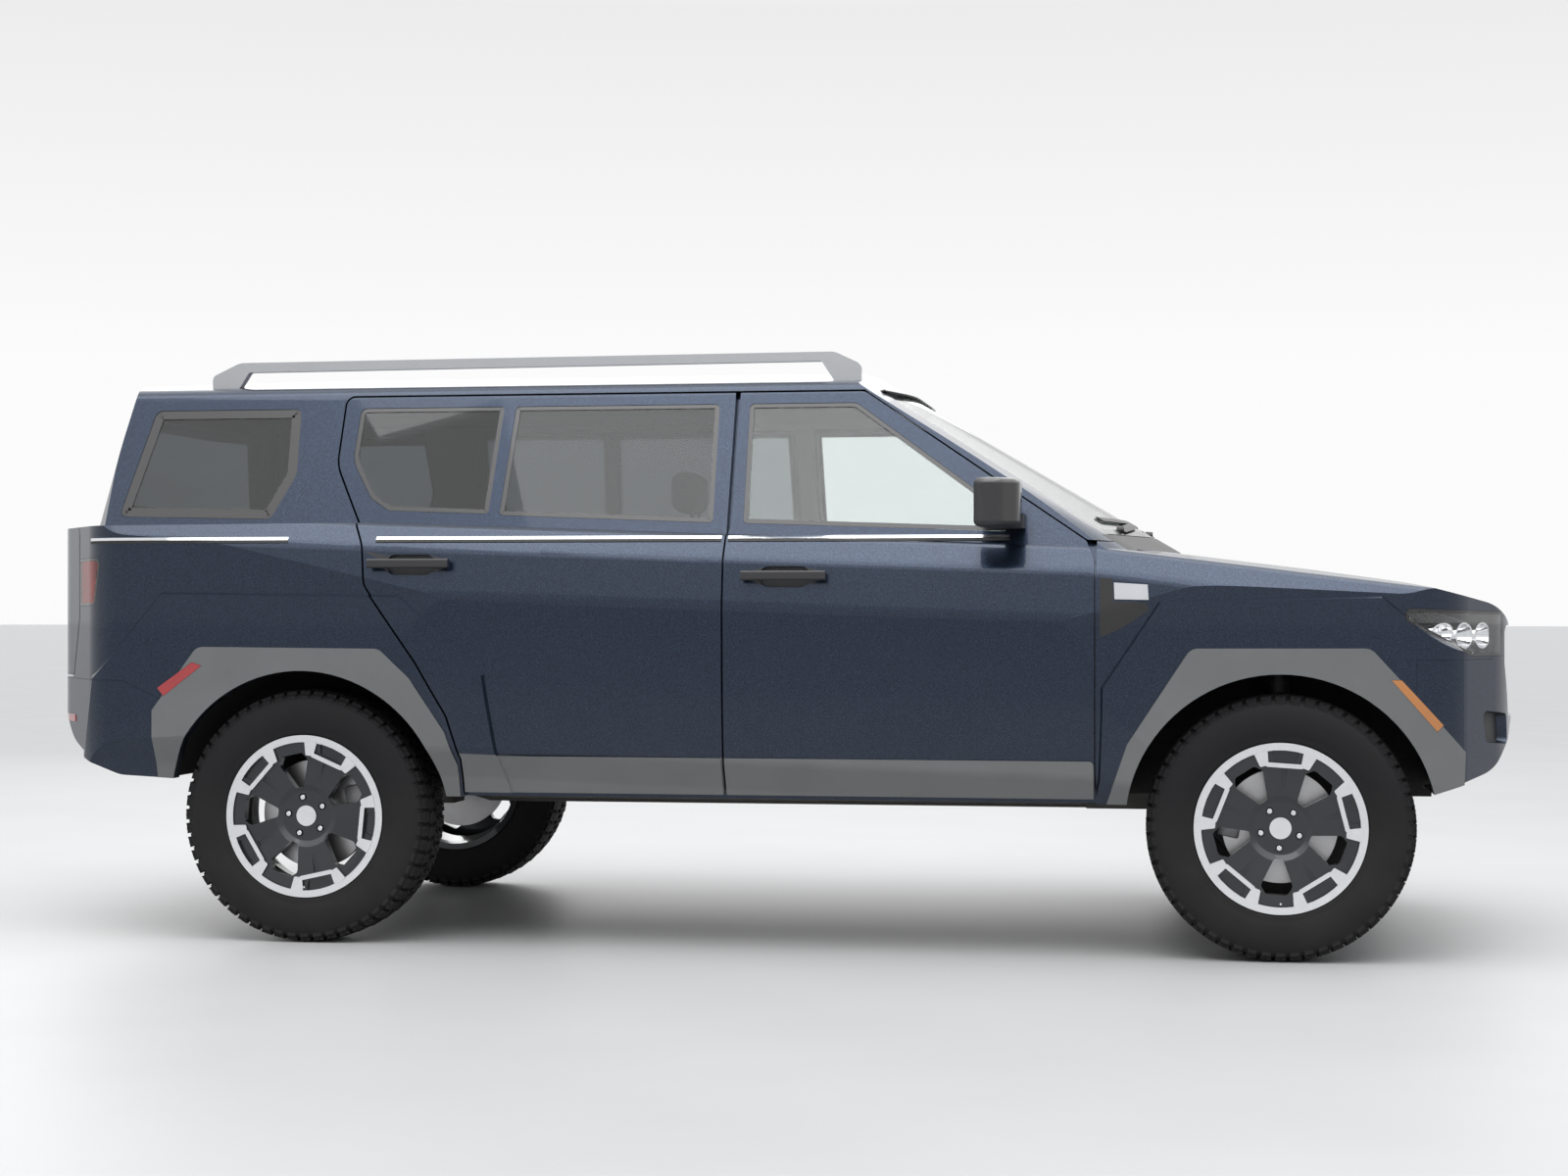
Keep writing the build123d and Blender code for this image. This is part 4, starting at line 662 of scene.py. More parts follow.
def copied_round(mesh, centre, count):
    """Everything in a mesh copied about an axle, so that there are as many as asked."""
    bmesh.ops.spin(mesh, geom=mesh.verts[:] + mesh.edges[:] + mesh.faces[:], cent=centre, axis=(0, 1, 0),
                   angle=math.tau * (count - 1) / count, steps=count - 1, use_duplicate=True)


def raised(mesh, faces):
    """Pulls a second layer out of some faces and returns its corners, ready to be moved."""
    made = bmesh.ops.extrude_face_region(mesh, geom=faces)["geom"]
    return [each for each in made if isinstance(each, bmesh.types.BMVert)]


def second_finish(mesh, first):
    """Gives a mesh's faces from the first one on the second of its finishes."""
    mesh.faces.ensure_lookup_table()
    for face in mesh.faces[first:]:
        face.material_index = 1


def gather(*parts):
    """Several meshes as one; the parts are used up."""
    whole = bmesh.new()
    for part in parts:
        holder = bpy.data.meshes.new("part")
        part.to_mesh(holder)
        part.free()
        whole.from_mesh(holder)
        bpy.data.meshes.remove(holder)
    return whole


def block(mesh, low, high, round_by=0.0, segments=2, turn=None):
    """A box between two corners with rounded edges, added to a mesh and returned as its vertices."""
    low, high = Vector(low), Vector(high)
    size = Matrix.Diagonal((*(high - low), 1))
    made = bmesh.ops.create_cube(mesh, size=1, matrix=Matrix.Translation((low + high) / 2) @ size)["verts"]
    if turn is not None:
        bmesh.ops.transform(mesh, verts=made, matrix=turn)
    if round_by:
        edges = list(dict.fromkeys(edge for vertex in made for edge in vertex.link_edges))
        made = bmesh.ops.bevel(mesh, geom=edges, affect="EDGES", offset=round_by, segments=segments,
                               profile=0.5, material=-1)["verts"]
    return made


def block_piece(name, look, body, *blocks):
    """A piece made of rounded blocks, each given as `block` takes it."""
    mesh = bmesh.new()
    for each in blocks:
        block(mesh, *each)
    return piece(name, mesh, [look], body)


# %% [markdown]
# ## Tyres
# A tyre is a carcass with blocks standing on it.  The carcass is one cross-section spun around the axle.
# Each pitch of the tread is a handful of rounded blocks, made once and copied round by the same spin
# operator with its duplicate option, which keeps every block a separate clean box.  The outermost
# blocks wrap over the shoulder as they do on a road tyre for light tracks.

# %% Carcass
PITCHES = 56


def carcass(mesh, centre, radius, half, rim):
    """The tyre without its tread: one closed cross-section spun around the axle."""
    base = radius - 0.009
    section = [(rim - 0.0155, half - 0.0165), (rim + 0.0010, half - 0.0165), (rim + 0.0035, half - 0.0080),
               (rim + 0.010, half - 0.0055), (rim + 0.013, half - 0.0060), (rim + 0.024, half - 0.0022),
               (rim + 0.045, half - 0.0004), (rim + 0.065, half - 0.0002), (rim + 0.084, half - 0.0022),
               (rim + 0.104, half - 0.0075), (rim + 0.117, half - 0.0160), (base - 0.0035, half - 0.0300),
               (base, half - 0.060)]
    inner = [(radius - 0.022, half - 0.034), (rim + 0.010, half - 0.0265), (rim - 0.0155, half - 0.034)]
    outline = [*section, *((r, -y) for r, y in reversed(section)),
               *((r, -y) for r, y in reversed(inner)), *inner]
    ring = [mesh.verts.new(centre + Vector((0, y, r))) for r, y in outline]
    edges = [mesh.edges.new(pair) for pair in zip(ring, ring[1:] + ring[:1])]
    bmesh.ops.spin(mesh, geom=ring + edges, cent=centre, axis=(0, 1, 0), angle=math.tau, steps=96,
                   use_merge=True)


# %% Tread blocks
def tread_block(mesh, centre, radius, across, along, drop, skew):
    """One block: across its width, along its length on the tread, its outer edge dropped to the shoulder."""
    made = bmesh.ops.create_cube(mesh, size=1)["verts"]
    near, far = across
    for vertex in made:
        out = vertex.co.y > 0
        y = far if out else near
        top = vertex.co.z > 0
        depth = (drop if abs(y) == max(abs(near), abs(far)) else drop * 0.3)
        height = radius - depth if top else radius - 0.016 - depth
        shift = skew * (y - near) + vertex.co.x * along * (1.0 if top else 1.12)
        vertex.co = centre + Vector((shift, y, height))
    edges = [edge for edge in dict.fromkeys(e for v in made for e in v.link_edges)
             if all(v.co.z > centre.z + radius - 0.014 for v in edge.verts)]
    bmesh.ops.bevel(mesh, geom=edges, affect="EDGES", offset=0.0012, segments=1, profile=0.5, material=-1)


def tread(centre, radius, half):
    """One pitch of tread blocks, copied all the way round."""
    pitch = math.tau * radius / PITCHES
    ring = bmesh.new()
    for mirrored in (1, -1):
        half_step = (mirrored > 0) * pitch / 2
        for near, far, along, drop, skew in (
                (0.004, 0.028, 0.60, 0.0, 0.35), (0.033, 0.062, 0.74, 0.0006, 0.30),
                (0.067, half - 0.0205, 0.70, 0.0045, 0.0)):
            for part in (-1, 1):
                shifted = centre + Vector((part * pitch * along * 0.26 + half_step, 0, 0))
                tread_block(ring, shifted, radius, (mirrored * near, mirrored * far),
                            pitch * along * 0.46, drop, mirrored * skew)
        tread_block(ring, centre + Vector((half_step, 0, 0)), radius - 0.0075,
                    (mirrored * (half - 0.0230), mirrored * (half - 0.0105)), pitch * 0.58, 0.0100, 0.0)
    copied_round(ring, centre, PITCHES)
    return ring


# %% Four tyres
RIM_RADIUS = 0.245
for (end, hand), centre in wheel_centre.items():
    low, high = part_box(f"tyre_{end}_{hand}")
    radius, half = (high.z - low.z) / 2, (high.y - low.y) / 2
    tyre = bmesh.new()
    carcass(tyre, centre, radius, half, RIM_RADIUS)
    tyre = gather(tyre, tread(centre, radius, half))
    made = piece(f"road_tyre_{end}_{hand}", tyre, [tyre_rubber], node_body[f"tyre_{end}_{hand}"])
    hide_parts(f"tyre_{end}_{hand}")
    print(made.name, "faces", len(made.data.polygons))


# %% [markdown]
# ## Wheel fastenings, brakes and splash shields
# Five hexagonal nuts sit in the hollows around the cap, and a short valve stands in the rim.  Behind the
# spokes a caliper straddles each disc; the front ones turn with the steering, so they ride on the
# knuckles, and the rear ones ride on the body.  The front arch liners stop above the
# underbody on their inner side, and a thin flat splash shield carries that wall on down.

# %% Nuts and valves
NUT_CIRCLE, NUT_FACE = 0.057, 0.0800
VALVE_CIRCLE, VALVE_FACE = 0.214, 0.098
FIRST_SPOKE_ROLL = {"front": 3.6, "rear": 23.5}
HALF_SPOKE = 36

for (end, hand), centre in wheel_centre.items():
    side = SIDES[hand]
    nuts = bmesh.new()
    at = turned(centre + Vector((0, side * NUT_FACE, NUT_CIRCLE)), -90 * side, "X")
    cone(nuts, at, 0.0100, 0.0082, 0.012, 6)
    copied_round(nuts, centre, 5)
    roll = math.radians(FIRST_SPOKE_ROLL[end] + HALF_SPOKE)
    bmesh.ops.rotate(nuts, verts=nuts.verts, cent=centre, matrix=Matrix.Rotation(roll, 3, "Y"))
    edges = [edge for edge in nuts.edges if edge.calc_length() > 0.006]
    bmesh.ops.bevel(nuts, geom=edges, affect="EDGES", offset=0.0008, segments=1, profile=0.5, material=-1)
    at = turned(centre + Vector((0, side * VALVE_FACE, -VALVE_CIRCLE)), -90 * side, "X")
    cone(nuts, at, 0.0045, 0.003, 0.022, 12)
    piece(f"wheel_nuts_{end}_{hand}", nuts, [bright], node_body[f"rim_{end}_{hand}"])
print("nuts on a circle of", NUT_CIRCLE)

# %% Brake calipers
CALIPER_ANGLE = {"front": -78, "rear": 78}
for (end, hand), centre in wheel_centre.items():
    low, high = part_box(f"brake_disc_{end}_{hand}")
    reach = (high.z - low.z) / 2
    caliper = bmesh.new()
    for near, far in ((low.y - 0.020, low.y - 0.004), (high.y + 0.004, high.y + 0.018)):
        block(caliper, (centre.x - 0.062, near, centre.z + reach - 0.056),
              (centre.x + 0.062, far, centre.z + reach + 0.006), 0.005, 2)
    block(caliper, (centre.x - 0.045, low.y - 0.018, centre.z + reach + 0.003),
          (centre.x + 0.045, high.y + 0.016, centre.z + reach + 0.012), 0.003, 2)
    bmesh.ops.rotate(caliper, verts=caliper.verts, cent=centre,
                     matrix=Matrix.Rotation(math.radians(CALIPER_ANGLE[end]), 3, "Y"))
    body = f"knuckle_{hand}" if end == "front" else "body"
    piece(f"brake_caliper_{end}_{hand}", caliper, [cast_metal], body)

# %% Splash shields below the arch liners
SHIELD_TOP, SHIELD_FOOT = 0.5595, 0.447
SHIELD_REACH = 0.455
SHIELD_Y = (0.4525, 0.4595)

for hand, side in SIDES.items():
    centre = wheel_centre["front", hand]
    inner, outer = sorted(side * y for y in SHIELD_Y)
    corners = (centre.x - SHIELD_REACH, inner, SHIELD_FOOT), (centre.x + SHIELD_REACH, outer, SHIELD_TOP)
    block_piece(f"splash_shield_{hand}", liner_felt, "body", (*corners, 0.002))
print("splash shields from", SHIELD_FOOT, "to", SHIELD_TOP)

# %% [markdown]
# ## Glass edges
# Automotive glass has a black ceramic band baked onto its edge, which hides the adhesive.  The band is
# taken from the pane itself: keep the pane's outer faces, inset them by the band's width, drop the middle,
# and give the ring that is left a little thickness.

# %% Band helper
CABIN_MIDDLE = Vector((-0.5, 0.0, 1.35))
BAND_LIFT, BAND_THICKNESS = 0.0005, 0.0018


def islands(mesh):
    """The separate shells of a mesh, each as a list of faces."""
    reached = set()
    found = []
    for first in mesh.faces:
        if first in reached:
            continue
        reached.add(first)
        shell = [first]
        for face in shell:
            near = [each for edge in face.edges for each in edge.link_faces if each not in reached]
            shell += dict.fromkeys(near)
            reached.update(near)
        found.append(shell)
    return found


def glass_band(name, width):
    """A thin ring that follows the edge of every pane of a construction piece."""
    mesh = bmesh.new()
    mesh.from_mesh(nodes[name].data)
    bmesh.ops.remove_doubles(mesh, verts=mesh.verts, dist=1e-5)
    keep = set()
    for shell in islands(mesh):
        widest = max(shell, key=lambda face: face.calc_area())
        facing = widest.normal.copy()
        middle = widest.calc_center_median()
        if facing.dot(middle - CABIN_MIDDLE) < 0:
            facing.negate()
        keep.update(face for face in shell if face.normal.dot(facing) > 0.8)
    bmesh.ops.delete(mesh, geom=[face for face in mesh.faces if face not in keep], context="FACES")
    bmesh.ops.dissolve_limit(mesh, angle_limit=math.radians(0.6), verts=mesh.verts, edges=mesh.edges)
    panes = mesh.faces[:]
    bmesh.ops.inset_region(mesh, faces=panes, thickness=width, use_boundary=True, use_even_offset=True)
    bmesh.ops.delete(mesh, geom=panes, context="FACES")
    lift = {vertex: vertex.normal.copy() for vertex in mesh.verts}
    for vertex, away in lift.items():
        vertex.co += away * BAND_LIFT
    for vertex in raised(mesh, mesh.faces[:]):
        vertex.co += vertex.normal * BAND_THICKNESS
    return mesh


# %% Bands on every pane
BANDS = [("fixed_glass", 0.030), ("tailgate_glass", 0.034)]
BANDS += [(f"{end}_door_glass_{hand}", 0.014) for end in ("front", "rear") for hand in SIDES]
for name, width in BANDS:
    made = piece(f"{name}_band", glass_band(name, width), [gloss_black], node_body[name])
    print(made.name, len(made.data.polygons), [round(c, 3) for c in made.dimensions])

# %% [markdown]
# ## Trim that lies on a panel
# A moulding, a wiper blade or a lamp strip follows the surface below it.  `laid_strip` makes a flat grid,
# casts every corner of it onto the panel, and pulls it up into a thin solid, so one helper serves them all.

# %% Strip helper
def laid_strip(mesh, tree, corner, along, across, cast, cuts, lift, thickness):
    """A thin solid on a skin: a grid from a corner along two edges, cast onto the skin and extruded."""
    corner, along, across, cast = map(Vector, (corner, along, across, cast))
    made = bmesh.ops.create_grid(mesh, x_segments=cuts[0], y_segments=cuts[1], size=0.5)["verts"]
    faces = list(dict.fromkeys(face for vertex in made for face in vertex.link_faces))
    for vertex in made:
        start = corner + along * (vertex.co.x + 0.5) + across * (vertex.co.y + 0.5)
        hit = tree.ray_cast(start, cast)[0] or tree.find_nearest(start)[0]
        vertex.co = hit - cast * lift
    bmesh.ops.translate(mesh, verts=raised(mesh, faces), vec=-cast * thickness)


# %% Belt mouldings
BELT = 1.2165
BRIGHT_HEIGHT, LIP_HEIGHT = 0.0085, 0.0075
OUTSIDE_Y = 1.3
BELT_RUNS = {"front_door": (-0.030, 0.800), "rear_door": (-1.100, -0.050), "body_side": (-2.030, -1.375)}
for hand, side in SIDES.items():
    for panel, (rear, front) in BELT_RUNS.items():
        name = f"{panel}_{hand}"
        tree = skin(name)
        moulding = bmesh.new()
        for foot, tall, thickness in ((BELT, BRIGHT_HEIGHT, 0.0030),
                                      (BELT - BRIGHT_HEIGHT, LIP_HEIGHT, 0.0022)):
            bright_faces = len(moulding.faces)
            laid_strip(moulding, tree, (rear, side * OUTSIDE_Y, foot), (front - rear, 0, 0), (0, 0, tall),
                       (0, -side, 0), (24, 1), 0.0002, thickness)
        second_finish(moulding, bright_faces)
        piece(f"belt_moulding_{name}", moulding, [bright, rubber], node_body[name])
print("belt mouldings at", BELT)

# %% [markdown]
# ## Fender vents
# Behind each front arch, a dark notch runs down the edge of the fender and carries one bright blade.  The
# notch is an outline laid on the skin; cutting it into a grid first lets it follow the fender's curve.

# %% Vent outline on the skin
def laid_outline(mesh, tree, side, outline, lift, thickness, cut=0.02):
    """A plate of any outline in X and Z, cut into a grid, cast sideways onto a skin and extruded."""
    corners = [mesh.verts.new((x, side * OUTSIDE_Y, z)) for x, z in outline]
    faces = [mesh.faces.new(corners)]
    for axis in (0, 2):
        low, high = (end(corner.co[axis] for corner in corners) for end in (min, max))
        for step in range(1, int((high - low) / cut) + 1):
            place = [0.0, 0.0, 0.0]
            place[axis] = low + step * cut
            normal = [1.0 if index == axis else 0.0 for index in range(3)]
            parts = [*faces, *dict.fromkeys(e for f in faces for e in f.edges),
                     *dict.fromkeys(v for f in faces for v in f.verts)]
            cuts = bmesh.ops.bisect_plane(mesh, geom=parts, plane_co=place, plane_no=normal, dist=1e-5)
            faces = [each for each in cuts["geom"] if isinstance(each, bmesh.types.BMFace)]
    for vertex in dict.fromkeys(v for f in faces for v in f.verts):
        hit = tree.ray_cast(vertex.co, (0, -side, 0))[0] or tree.find_nearest(vertex.co)[0]
        vertex.co = hit + Vector((0, side * lift, 0))
    bmesh.ops.translate(mesh, verts=raised(mesh, faces), vec=(0, side * thickness, 0))


# %% Vents
fender_skin = skin("front_fenders")
VENT = [(1.064, 1.098), (1.100, 1.096), (1.102, 1.030), (1.196, 1.026), (1.204, 1.004), (1.127, 0.954),
        (1.064, 0.925)]
VENT_BLADE = [(1.104, 1.084), (1.200, 1.078), (1.203, 1.034), (1.106, 1.036)]
for hand, side in SIDES.items():
    vent = bmesh.new()
    laid_outline(vent, fender_skin, side, VENT, 0.0003, 0.0015)
    dark_faces = len(vent.faces)
    laid_outline(vent, fender_skin, side, VENT_BLADE, 0.0010, 0.0028)
    second_finish(vent, dark_faces)
    piece(f"fender_vent_{hand}", vent, [rubber, rail_metal], "body", sharp=15)
print("vent corners", len(VENT) + len(VENT_BLADE))

# %% [markdown]
# ## Mirrors, wipers and lamps
# The mirror glass fills the recess in the back of its housing.  Two wipers rest at the foot of the
# windscreen and one on the tailgate glass; each is an arm, a hinge cap and a blade laid on the glass.

# %% Mirror glass
for hand, side in SIDES.items():
    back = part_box(f"mirror_{hand}")[0].x
    inner, outer = sorted((side * 0.922, side * 1.074))
    block_piece(f"mirror_glass_{hand}", mirror_silver, node_body[f"mirror_{hand}"],
                ((back + 0.004, inner, 1.258), (back + 0.009, outer, 1.366), 0.0015))

# %% Wipers
BEYOND_X = 2.6


def wiper(name, tree, pivot, tip, blade, cast, body):
    """An arm from its pivot to the middle of a blade, all laid on the glass; ends are (y, z)."""
    start = -cast * BEYOND_X
    made = bmesh.new()
    (arm_y, arm_z), (tip_y, tip_z) = pivot, tip
    (blade_y, blade_z), (end_y, end_z) = blade
    along = (0, end_y - blade_y, end_z - blade_z)
    for corner, run, across, cuts, lift, thickness in (
            ((arm_y, arm_z), (0, tip_y - arm_y, tip_z - arm_z), (0, 0.004, 0.014), 8, 0.010, 0.006),
            ((blade_y, blade_z), along, (0, 0, 0.012), 16, 0.006, 0.007),
            ((blade_y, blade_z + 0.004), along, (0, 0, 0.004), 16, 0.0008, 0.008)):
        laid_strip(made, tree, (start, *corner), run, across, (cast, 0, 0), (cuts, 1), lift, thickness)
    hit = tree.ray_cast(Vector((start, arm_y, arm_z + 0.007)), Vector((cast, 0, 0)))[0]
    cone(made, turned(hit + Vector((-cast * 0.010, 0, 0)), 90), 0.013, 0.011, 0.022, 24)
    return piece(name, made, [black_plastic], body)


screen_skin = skin("fixed_glass", "cowl")
for name, inner in (("wiper_left", 0.05), ("wiper_right", -0.60)):
    wiper(name, screen_skin, (inner + 0.02, 1.238), (inner + 0.30, 1.262),
          ((inner, 1.272), (inner + 0.58, 1.266)), -1, "body")
wiper("wiper_rear", skin("tailgate_glass"), (0.0, 1.318), (-0.20, 1.334), ((-0.02, 1.340), (-0.38, 1.346)), 1,
      "tailgate_lid")

# %% Lamp lenses
HEAD_LENS_X, HEAD_LENS_SWEEP = 2.066, 0.30
TAIL_LENS_X = -2.035
head_places = [(HEAD_LENS_X - HEAD_LENS_SWEEP * (y - HEAD_BARRELS[0][0]), y, z) for y, z in HEAD_BARRELS]
tail_places = [(TAIL_LENS_X, y, z) for y, z in TAIL_BARRELS]
for name, places, radius, lens in (("head_lamp_lenses", head_places, 0.024, lens_clear),
                                   ("tail_lamp_lenses", tail_places, 0.020, lens_red)):
    bulbs = bmesh.new()
    for x, y, z in places:
        for side in SIDES.values():
            ball = bmesh.ops.create_uvsphere(bulbs, u_segments=24, v_segments=12, radius=radius,
                                             matrix=Matrix.Translation((x, side * y, z)))["verts"]
            bmesh.ops.scale(bulbs, verts=ball, vec=(0.55, 1, 1),
                            space=Matrix.Translation((-x, -side * y, -z)))
    piece(name, bulbs, [lens], "body")

# %% Strips on the tail
STRIP_LIFT = {"tailgate": 0.0003, "rear_bumper": 0.0002}
TAIL_STRIPS = [
    # name, panel, finish, corner, width, height, cuts, thickness
    ("high_stop_lamp", "tailgate", marker_red, (-0.19, 1.652), 0.38, 0.013, 16, 0.004),
    ("tailgate_release_trim", "tailgate", gloss_black, (-0.26, 0.976), 0.52, 0.022, 16, 0.0045),
    *((f"rear_reflector_{hand}", "rear_bumper", marker_red, (side * 0.56, 0.655), side * 0.16, 0.022, 10,
       0.003) for hand, side in SIDES.items())]
for name, panel, look, corner, wide, tall, cuts, thickness in TAIL_STRIPS:
    strip = bmesh.new()
    laid_strip(strip, skin(panel), (-BEYOND_X, *corner), (0, wide, 0), (0, 0, tall), (1, 0, 0), (cuts, 1),
               STRIP_LIFT[panel], thickness)
    piece(name, strip, [look], node_body[panel])

# %% [markdown]
# ## Seats
# A seat is foam under a stretched cover: it swells between its seams and rounds over at its edges.  Each
# pad starts as a few rounded blocks, a flat panel and its side bolsters, that overlap.  A voxel remesh
# joins them into one skin, a short cloth simulation with air pressure swells it, and a cap keeps any
# point from moving further than real foam would.  The sewn channels are pressed in afterwards, because
# the remesh would erase them.

# %% Swelling a pad
VOXEL, PRESSURE, SWELL, FRAMES = 0.014, 4.0, 0.009, 20


def evaluated(made):
    """A new mesh of an object with its modifiers applied."""
    depsgraph = bpy.context.evaluated_depsgraph_get()
    return bpy.data.meshes.new_from_object(made.evaluated_get(depsgraph))


def swollen(mesh, voxel):
    """One skin around overlapping blocks, swollen by a cloth simulation and smoothed once."""
    data = bpy.data.meshes.new("pad_blocks")
    mesh.to_mesh(data)
    mesh.free()
    holder = scene_link("pad_blocks", data)
    remesh = holder.modifiers.new("one_skin", "REMESH")
    remesh.mode = "VOXEL"
    remesh.voxel_size = voxel
    skin_data = evaluated(holder)
    holder.modifiers.clear()
    holder.data = skin_data
    before = [vertex.co.copy() for vertex in skin_data.vertices]
    cloth = holder.modifiers.new("swell", "CLOTH")
    cloth.settings.use_pressure = True
    cloth.settings.uniform_pressure_force = PRESSURE
    cloth.settings.effector_weights.gravity = 0
    cloth.point_cache.frame_start, cloth.point_cache.frame_end = 1, FRAMES
    for frame_number in range(1, FRAMES + 1):
        scene.frame_set(frame_number)
    blown = evaluated(holder)
    for vertex, start in zip(blown.vertices, before):
        move = vertex.co - start
        if move.length > SWELL:
            vertex.co = start + move.normalized() * SWELL
    holder.modifiers.clear()
    holder.data = blown
    smooth = holder.modifiers.new("smooth", "SUBSURF")
    smooth.levels = smooth.render_levels = 1
    result = bmesh.new()
    final = evaluated(holder)
    result.from_mesh(final)
    bpy.data.objects.remove(holder)
    bpy.data.meshes.remove(final)
    return result


# %% Sewn channels
def sew(mesh, seams, width=0.006, depth=0.007):
    """Presses narrow channels into a pad along planes, each a point and a normal."""
    mesh.normal_update()
    pressed = {}
    for vertex in mesh.verts:
        share = max(math.exp(-((vertex.co - point).dot(normal) / width) ** 2) for point, normal in seams)
        pressed[vertex] = vertex.normal * depth * share
    for vertex, push in pressed.items():
        vertex.co -= push


def seam(axis, place):
    """A seam plane at a place along the x, y or z axis: a point on it and its normal."""
    normal = Vector([float(name == axis) for name in "xyz"])
    return normal * place, normal


def pad(panel, round_by, bolsters=(), seams=(), voxel=VOXEL, seam_width=0.006):
    """A swollen pad: a flat panel with its side bolsters and its sewn channels."""
    mesh = bmesh.new()
    block(mesh, *panel, round_by, 4)
    for low, high in bolsters:
        block(mesh, low, high, 0.030, 4)
    mesh = swollen(mesh, voxel)
    if seams:
        sew(mesh, seams, seam_width)
    return mesh


def head_rest(x, y, z, size, voxel):
    """A small pad around its middle."""
    middle, half = Vector((x, y, z)), Vector(size) / 2
    return pad((middle - half, middle + half), half.x * 0.85, voxel=voxel)


def trimmed(mesh, edges):
    """Bolsters and backs in dark hide, panels in cloth: slot 1 outside the two seams."""
    low, high = edges
    for face in mesh.faces:
        face.material_index = 0 if low < abs(face.calc_center_median().y) < high else 1
    return mesh


def seat(name, mesh, node_name):
    """A padded piece in cloth and hide that stands for a construction piece."""
    made = piece(name, mesh, [seat_cloth, seat_hide], "body", sharp=180)
    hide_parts(node_name)
    return made


# %% Front seats
RECLINE = -16
SEAT_MID = 0.385
HIP = Vector((-0.03, SEAT_MID, 0.74))
SIDE_SEAMS = (0.218, 0.552)
BOLSTER_WIDTH = 0.065
BOLSTER_PLACES = (0.150, 0.555)
seat_hide = finish("seat_hide", (0.020, 0.020, 0.022), 0.5, grain=(320, 0.5), noise_scale=12)
cushion = pad(((-0.055, 0.165, 0.628), (0.430, 0.605, 0.745)), 0.040,
              [((-0.020, y, 0.640), (0.400, y + BOLSTER_WIDTH, 0.772)) for y in BOLSTER_PLACES],
              [*(seam("y", y) for y in SIDE_SEAMS), seam("x", 0.26), seam("x", 0.10)])
back = pad(((-0.125, 0.165, 0.735), (-0.045, 0.605, 1.290)), 0.035,
           [((-0.115, y, 0.775), (-0.012, y + BOLSTER_WIDTH, 1.170)) for y in BOLSTER_PLACES],
           [*(seam("y", y) for y in SIDE_SEAMS), seam("z", 1.10), seam("z", 0.90)])
bmesh.ops.transform(back, verts=back.verts, matrix=turned(HIP, RECLINE) @ Matrix.Translation(-HIP))
left_seat = gather(cushion, back, head_rest(-0.243, SEAT_MID, 1.372, (0.085, 0.255, 0.130), 0.012))
trimmed(left_seat, SIDE_SEAMS)
for hand, side in SIDES.items():
    copy = left_seat.copy()
    if side < 0:
        bmesh.ops.scale(copy, verts=copy.verts, vec=(1, -1, 1))
    seat(f"front_seat_pads_{hand}", copy, "front_seats")
    base = bmesh.new()
    y = side * SEAT_MID
    block(base, (-0.02, y - 0.20, 0.486), (0.38, y + 0.20, 0.622), 0.012, 2)
    for post in (-0.06, 0.06):
        cone(base, turned((-0.226, y + post, 1.302), RECLINE / 2), 0.006, 0.006, 0.07, 16)
    piece(f"front_seat_base_{hand}", base, [black_plastic], "body")
left_seat.free()
print("front seats lean back by", -RECLINE)

# %% Rear bench
BENCH_LEAN = -15
BENCH_HIP = Vector((-0.885, 0, 0.755))
BENCH_SEAM, BENCH_VOXEL, BENCH_SEAM_WIDTH = 0.175, 0.017, 0.007
bench_seams = [seam("y", -BENCH_SEAM), seam("y", BENCH_SEAM)]
bench_cushion = pad(((-0.865, -0.520, 0.640), (-0.430, 0.520, 0.758)), 0.040,
                    seams=[*bench_seams, seam("x", -0.56)], voxel=BENCH_VOXEL, seam_width=BENCH_SEAM_WIDTH)
bench_back = pad(((-0.968, -0.520, 0.765), (-0.888, 0.520, 1.160)), 0.034,
                 seams=[*bench_seams, seam("z", 1.02)], voxel=BENCH_VOXEL, seam_width=BENCH_SEAM_WIDTH)
bmesh.ops.transform(bench_back, verts=bench_back.verts,
                    matrix=turned(BENCH_HIP, BENCH_LEAN) @ Matrix.Translation(-BENCH_HIP))
rests = [head_rest(-1.030, y, 1.208, (0.080, 0.230, 0.110), 0.013) for y in (-0.345, 0.345)]
bench = seat("rear_bench_pads", trimmed(gather(bench_cushion, bench_back, *rests), (-1, 0.500)), "rear_seats")
block_piece("rear_bench_base", black_plastic, "body", ((-0.83, -0.50, 0.486), (-0.46, 0.50, 0.634), 0.012))
print("bench faces", len(bench.data.polygons))

# %% [markdown]
# ## Cabin trim
# Through the glass a driver's place is read from a few things: a screen on the dash, a hood over the
# instruments, air vents, a gear lever with its gaiter, a mirror, and armrests on the doors.  All
# screens are blank and dark.

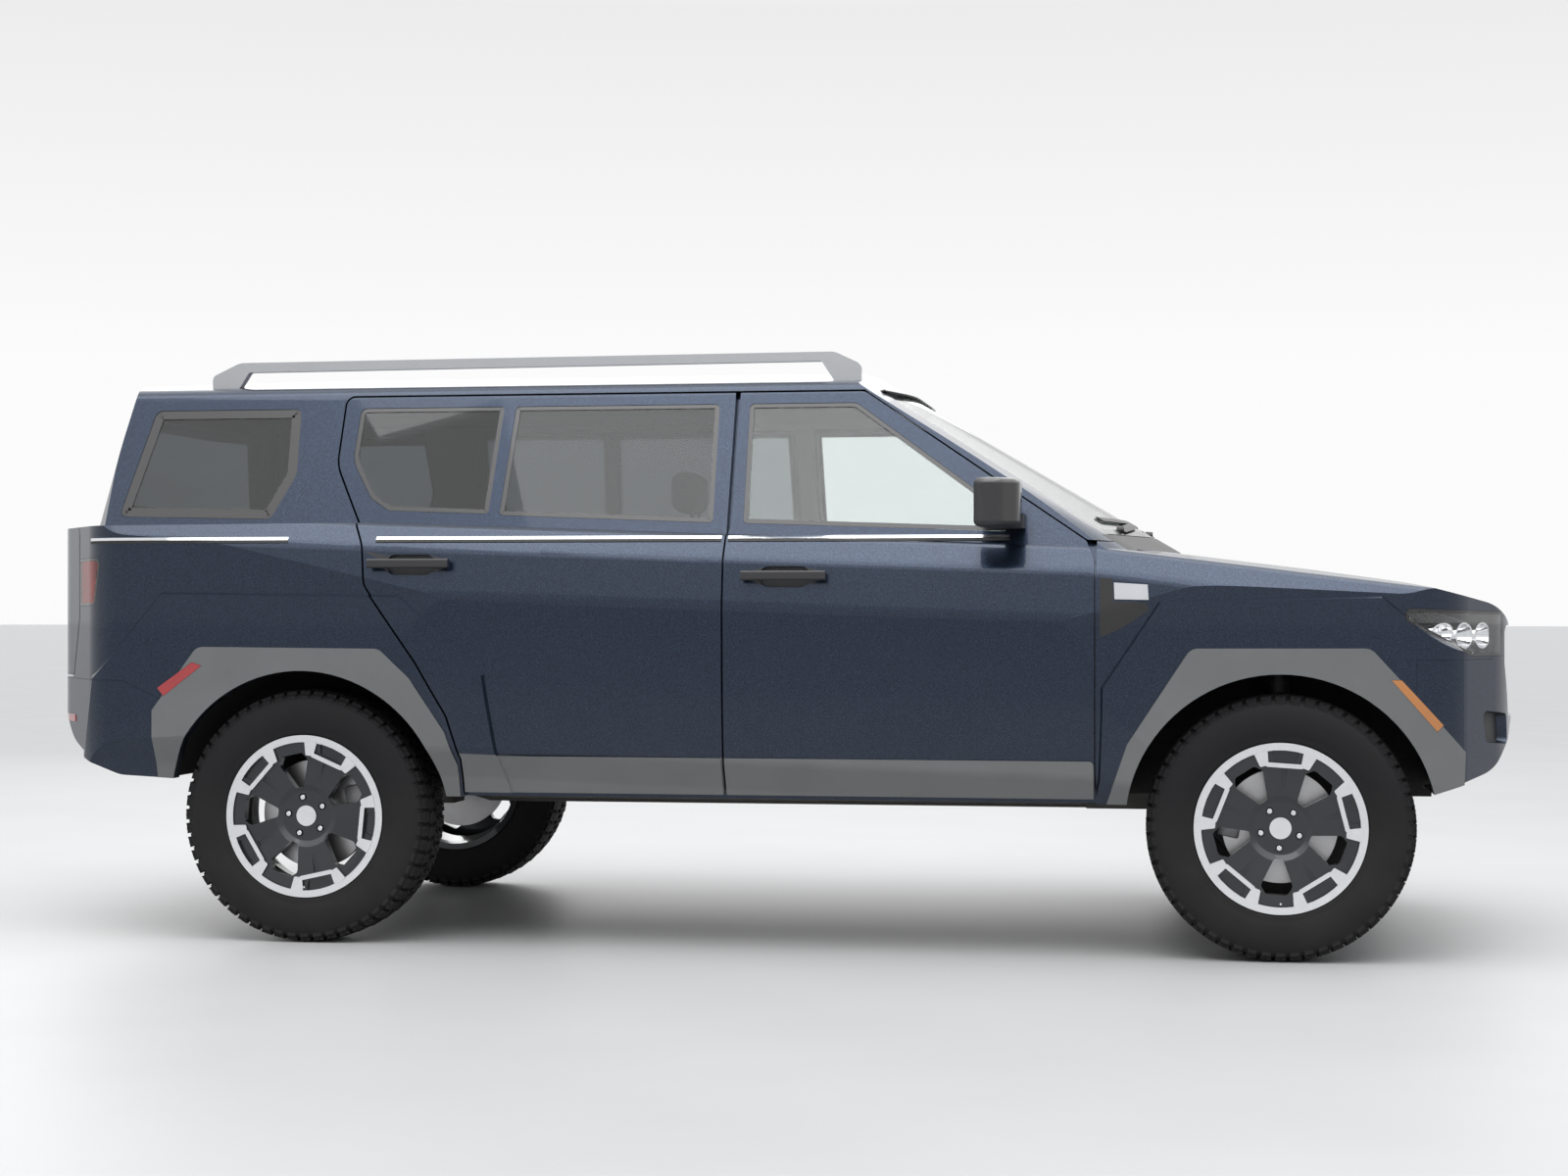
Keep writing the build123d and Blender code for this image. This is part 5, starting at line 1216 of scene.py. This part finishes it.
# %% Dashboard
block_piece("centre_screen", screen_glass, "body",
            ((-0.006, -0.140, -0.075), (0.008, 0.140, 0.080), 0.005, 2, turned((0.735, 0, 1.17), -10)))
block_piece("instrument_hood", cabin_plastic, "body",
            ((0.715, 0.235, 1.128), (0.850, 0.505, 1.185), 0.022, 3))
block_piece("instrument_screen", screen_glass, "body",
            ((0.709, 0.255, 1.134), (0.716, 0.485, 1.176), 0.002, 1))

# %% Air vents
BLADES, BLADE_STEP = 4, 0.013
vents = bmesh.new()
dash_skin = skin("dashboard")
for middle in (-0.70, -0.19, 0.19, 0.70):
    for row in range(BLADES):
        laid_strip(vents, dash_skin, (0.30, middle - 0.05, 1.040 + BLADE_STEP * row), (0, 0.10, 0),
                   (0, 0, 0.005), (1, 0, 0), (4, 1), 0.0005, 0.006)
piece("air_vents", vents, [gloss_black], "body")

# %% Gear lever and cabin mirror
lever = bmesh.new()
cone(lever, turned((0.560, 0, 0.712)), 0.045, 0.012, 0.070, 24)
cone(lever, turned((0.553, 0, 0.78), -8), 0.008, 0.007, 0.11, 16)
bmesh.ops.create_uvsphere(lever, u_segments=24, v_segments=14, radius=0.026,
                          matrix=Matrix.Translation((0.545, 0, 0.842)))
piece("gear_lever", lever, [seat_hide], "body")
block_piece("cabin_mirror", black_plastic, "body", ((0.470, -0.125, 1.520), (0.492, 0.125, 1.585), 0.009, 3),
            ((0.488, -0.012, 1.560), (0.520, 0.012, 1.600), 0.004, 2))

# %% Door armrests, pulls and speaker rings
DOOR_TRIMS = {"front": (0.06, 0.50), "rear": (-0.64, -0.20)}
for hand, side in SIDES.items():
    for end, (rear, front) in DOOR_TRIMS.items():
        trim = bmesh.new()
        near, far = sorted((side * 0.795, side * 0.8385))
        block(trim, (rear, near, 0.800), (front, far, 0.862), 0.016, 3)
        near, far = sorted((side * 0.808, side * 0.8385))
        block(trim, (rear + 0.05, near, 0.905), (rear + 0.19, far, 0.930), 0.010, 3)
        cone(trim, turned((rear + 0.10, side * 0.835, 0.62), 90, "X"), 0.075, 0.075, 0.010, 36)
        piece(f"door_trim_{end}_{hand}", trim, [cabin_plastic], node_body[f"{end}_door_{hand}"])
print("pieces in all", len([o for o in scene.objects if o.type == "MESH"]))
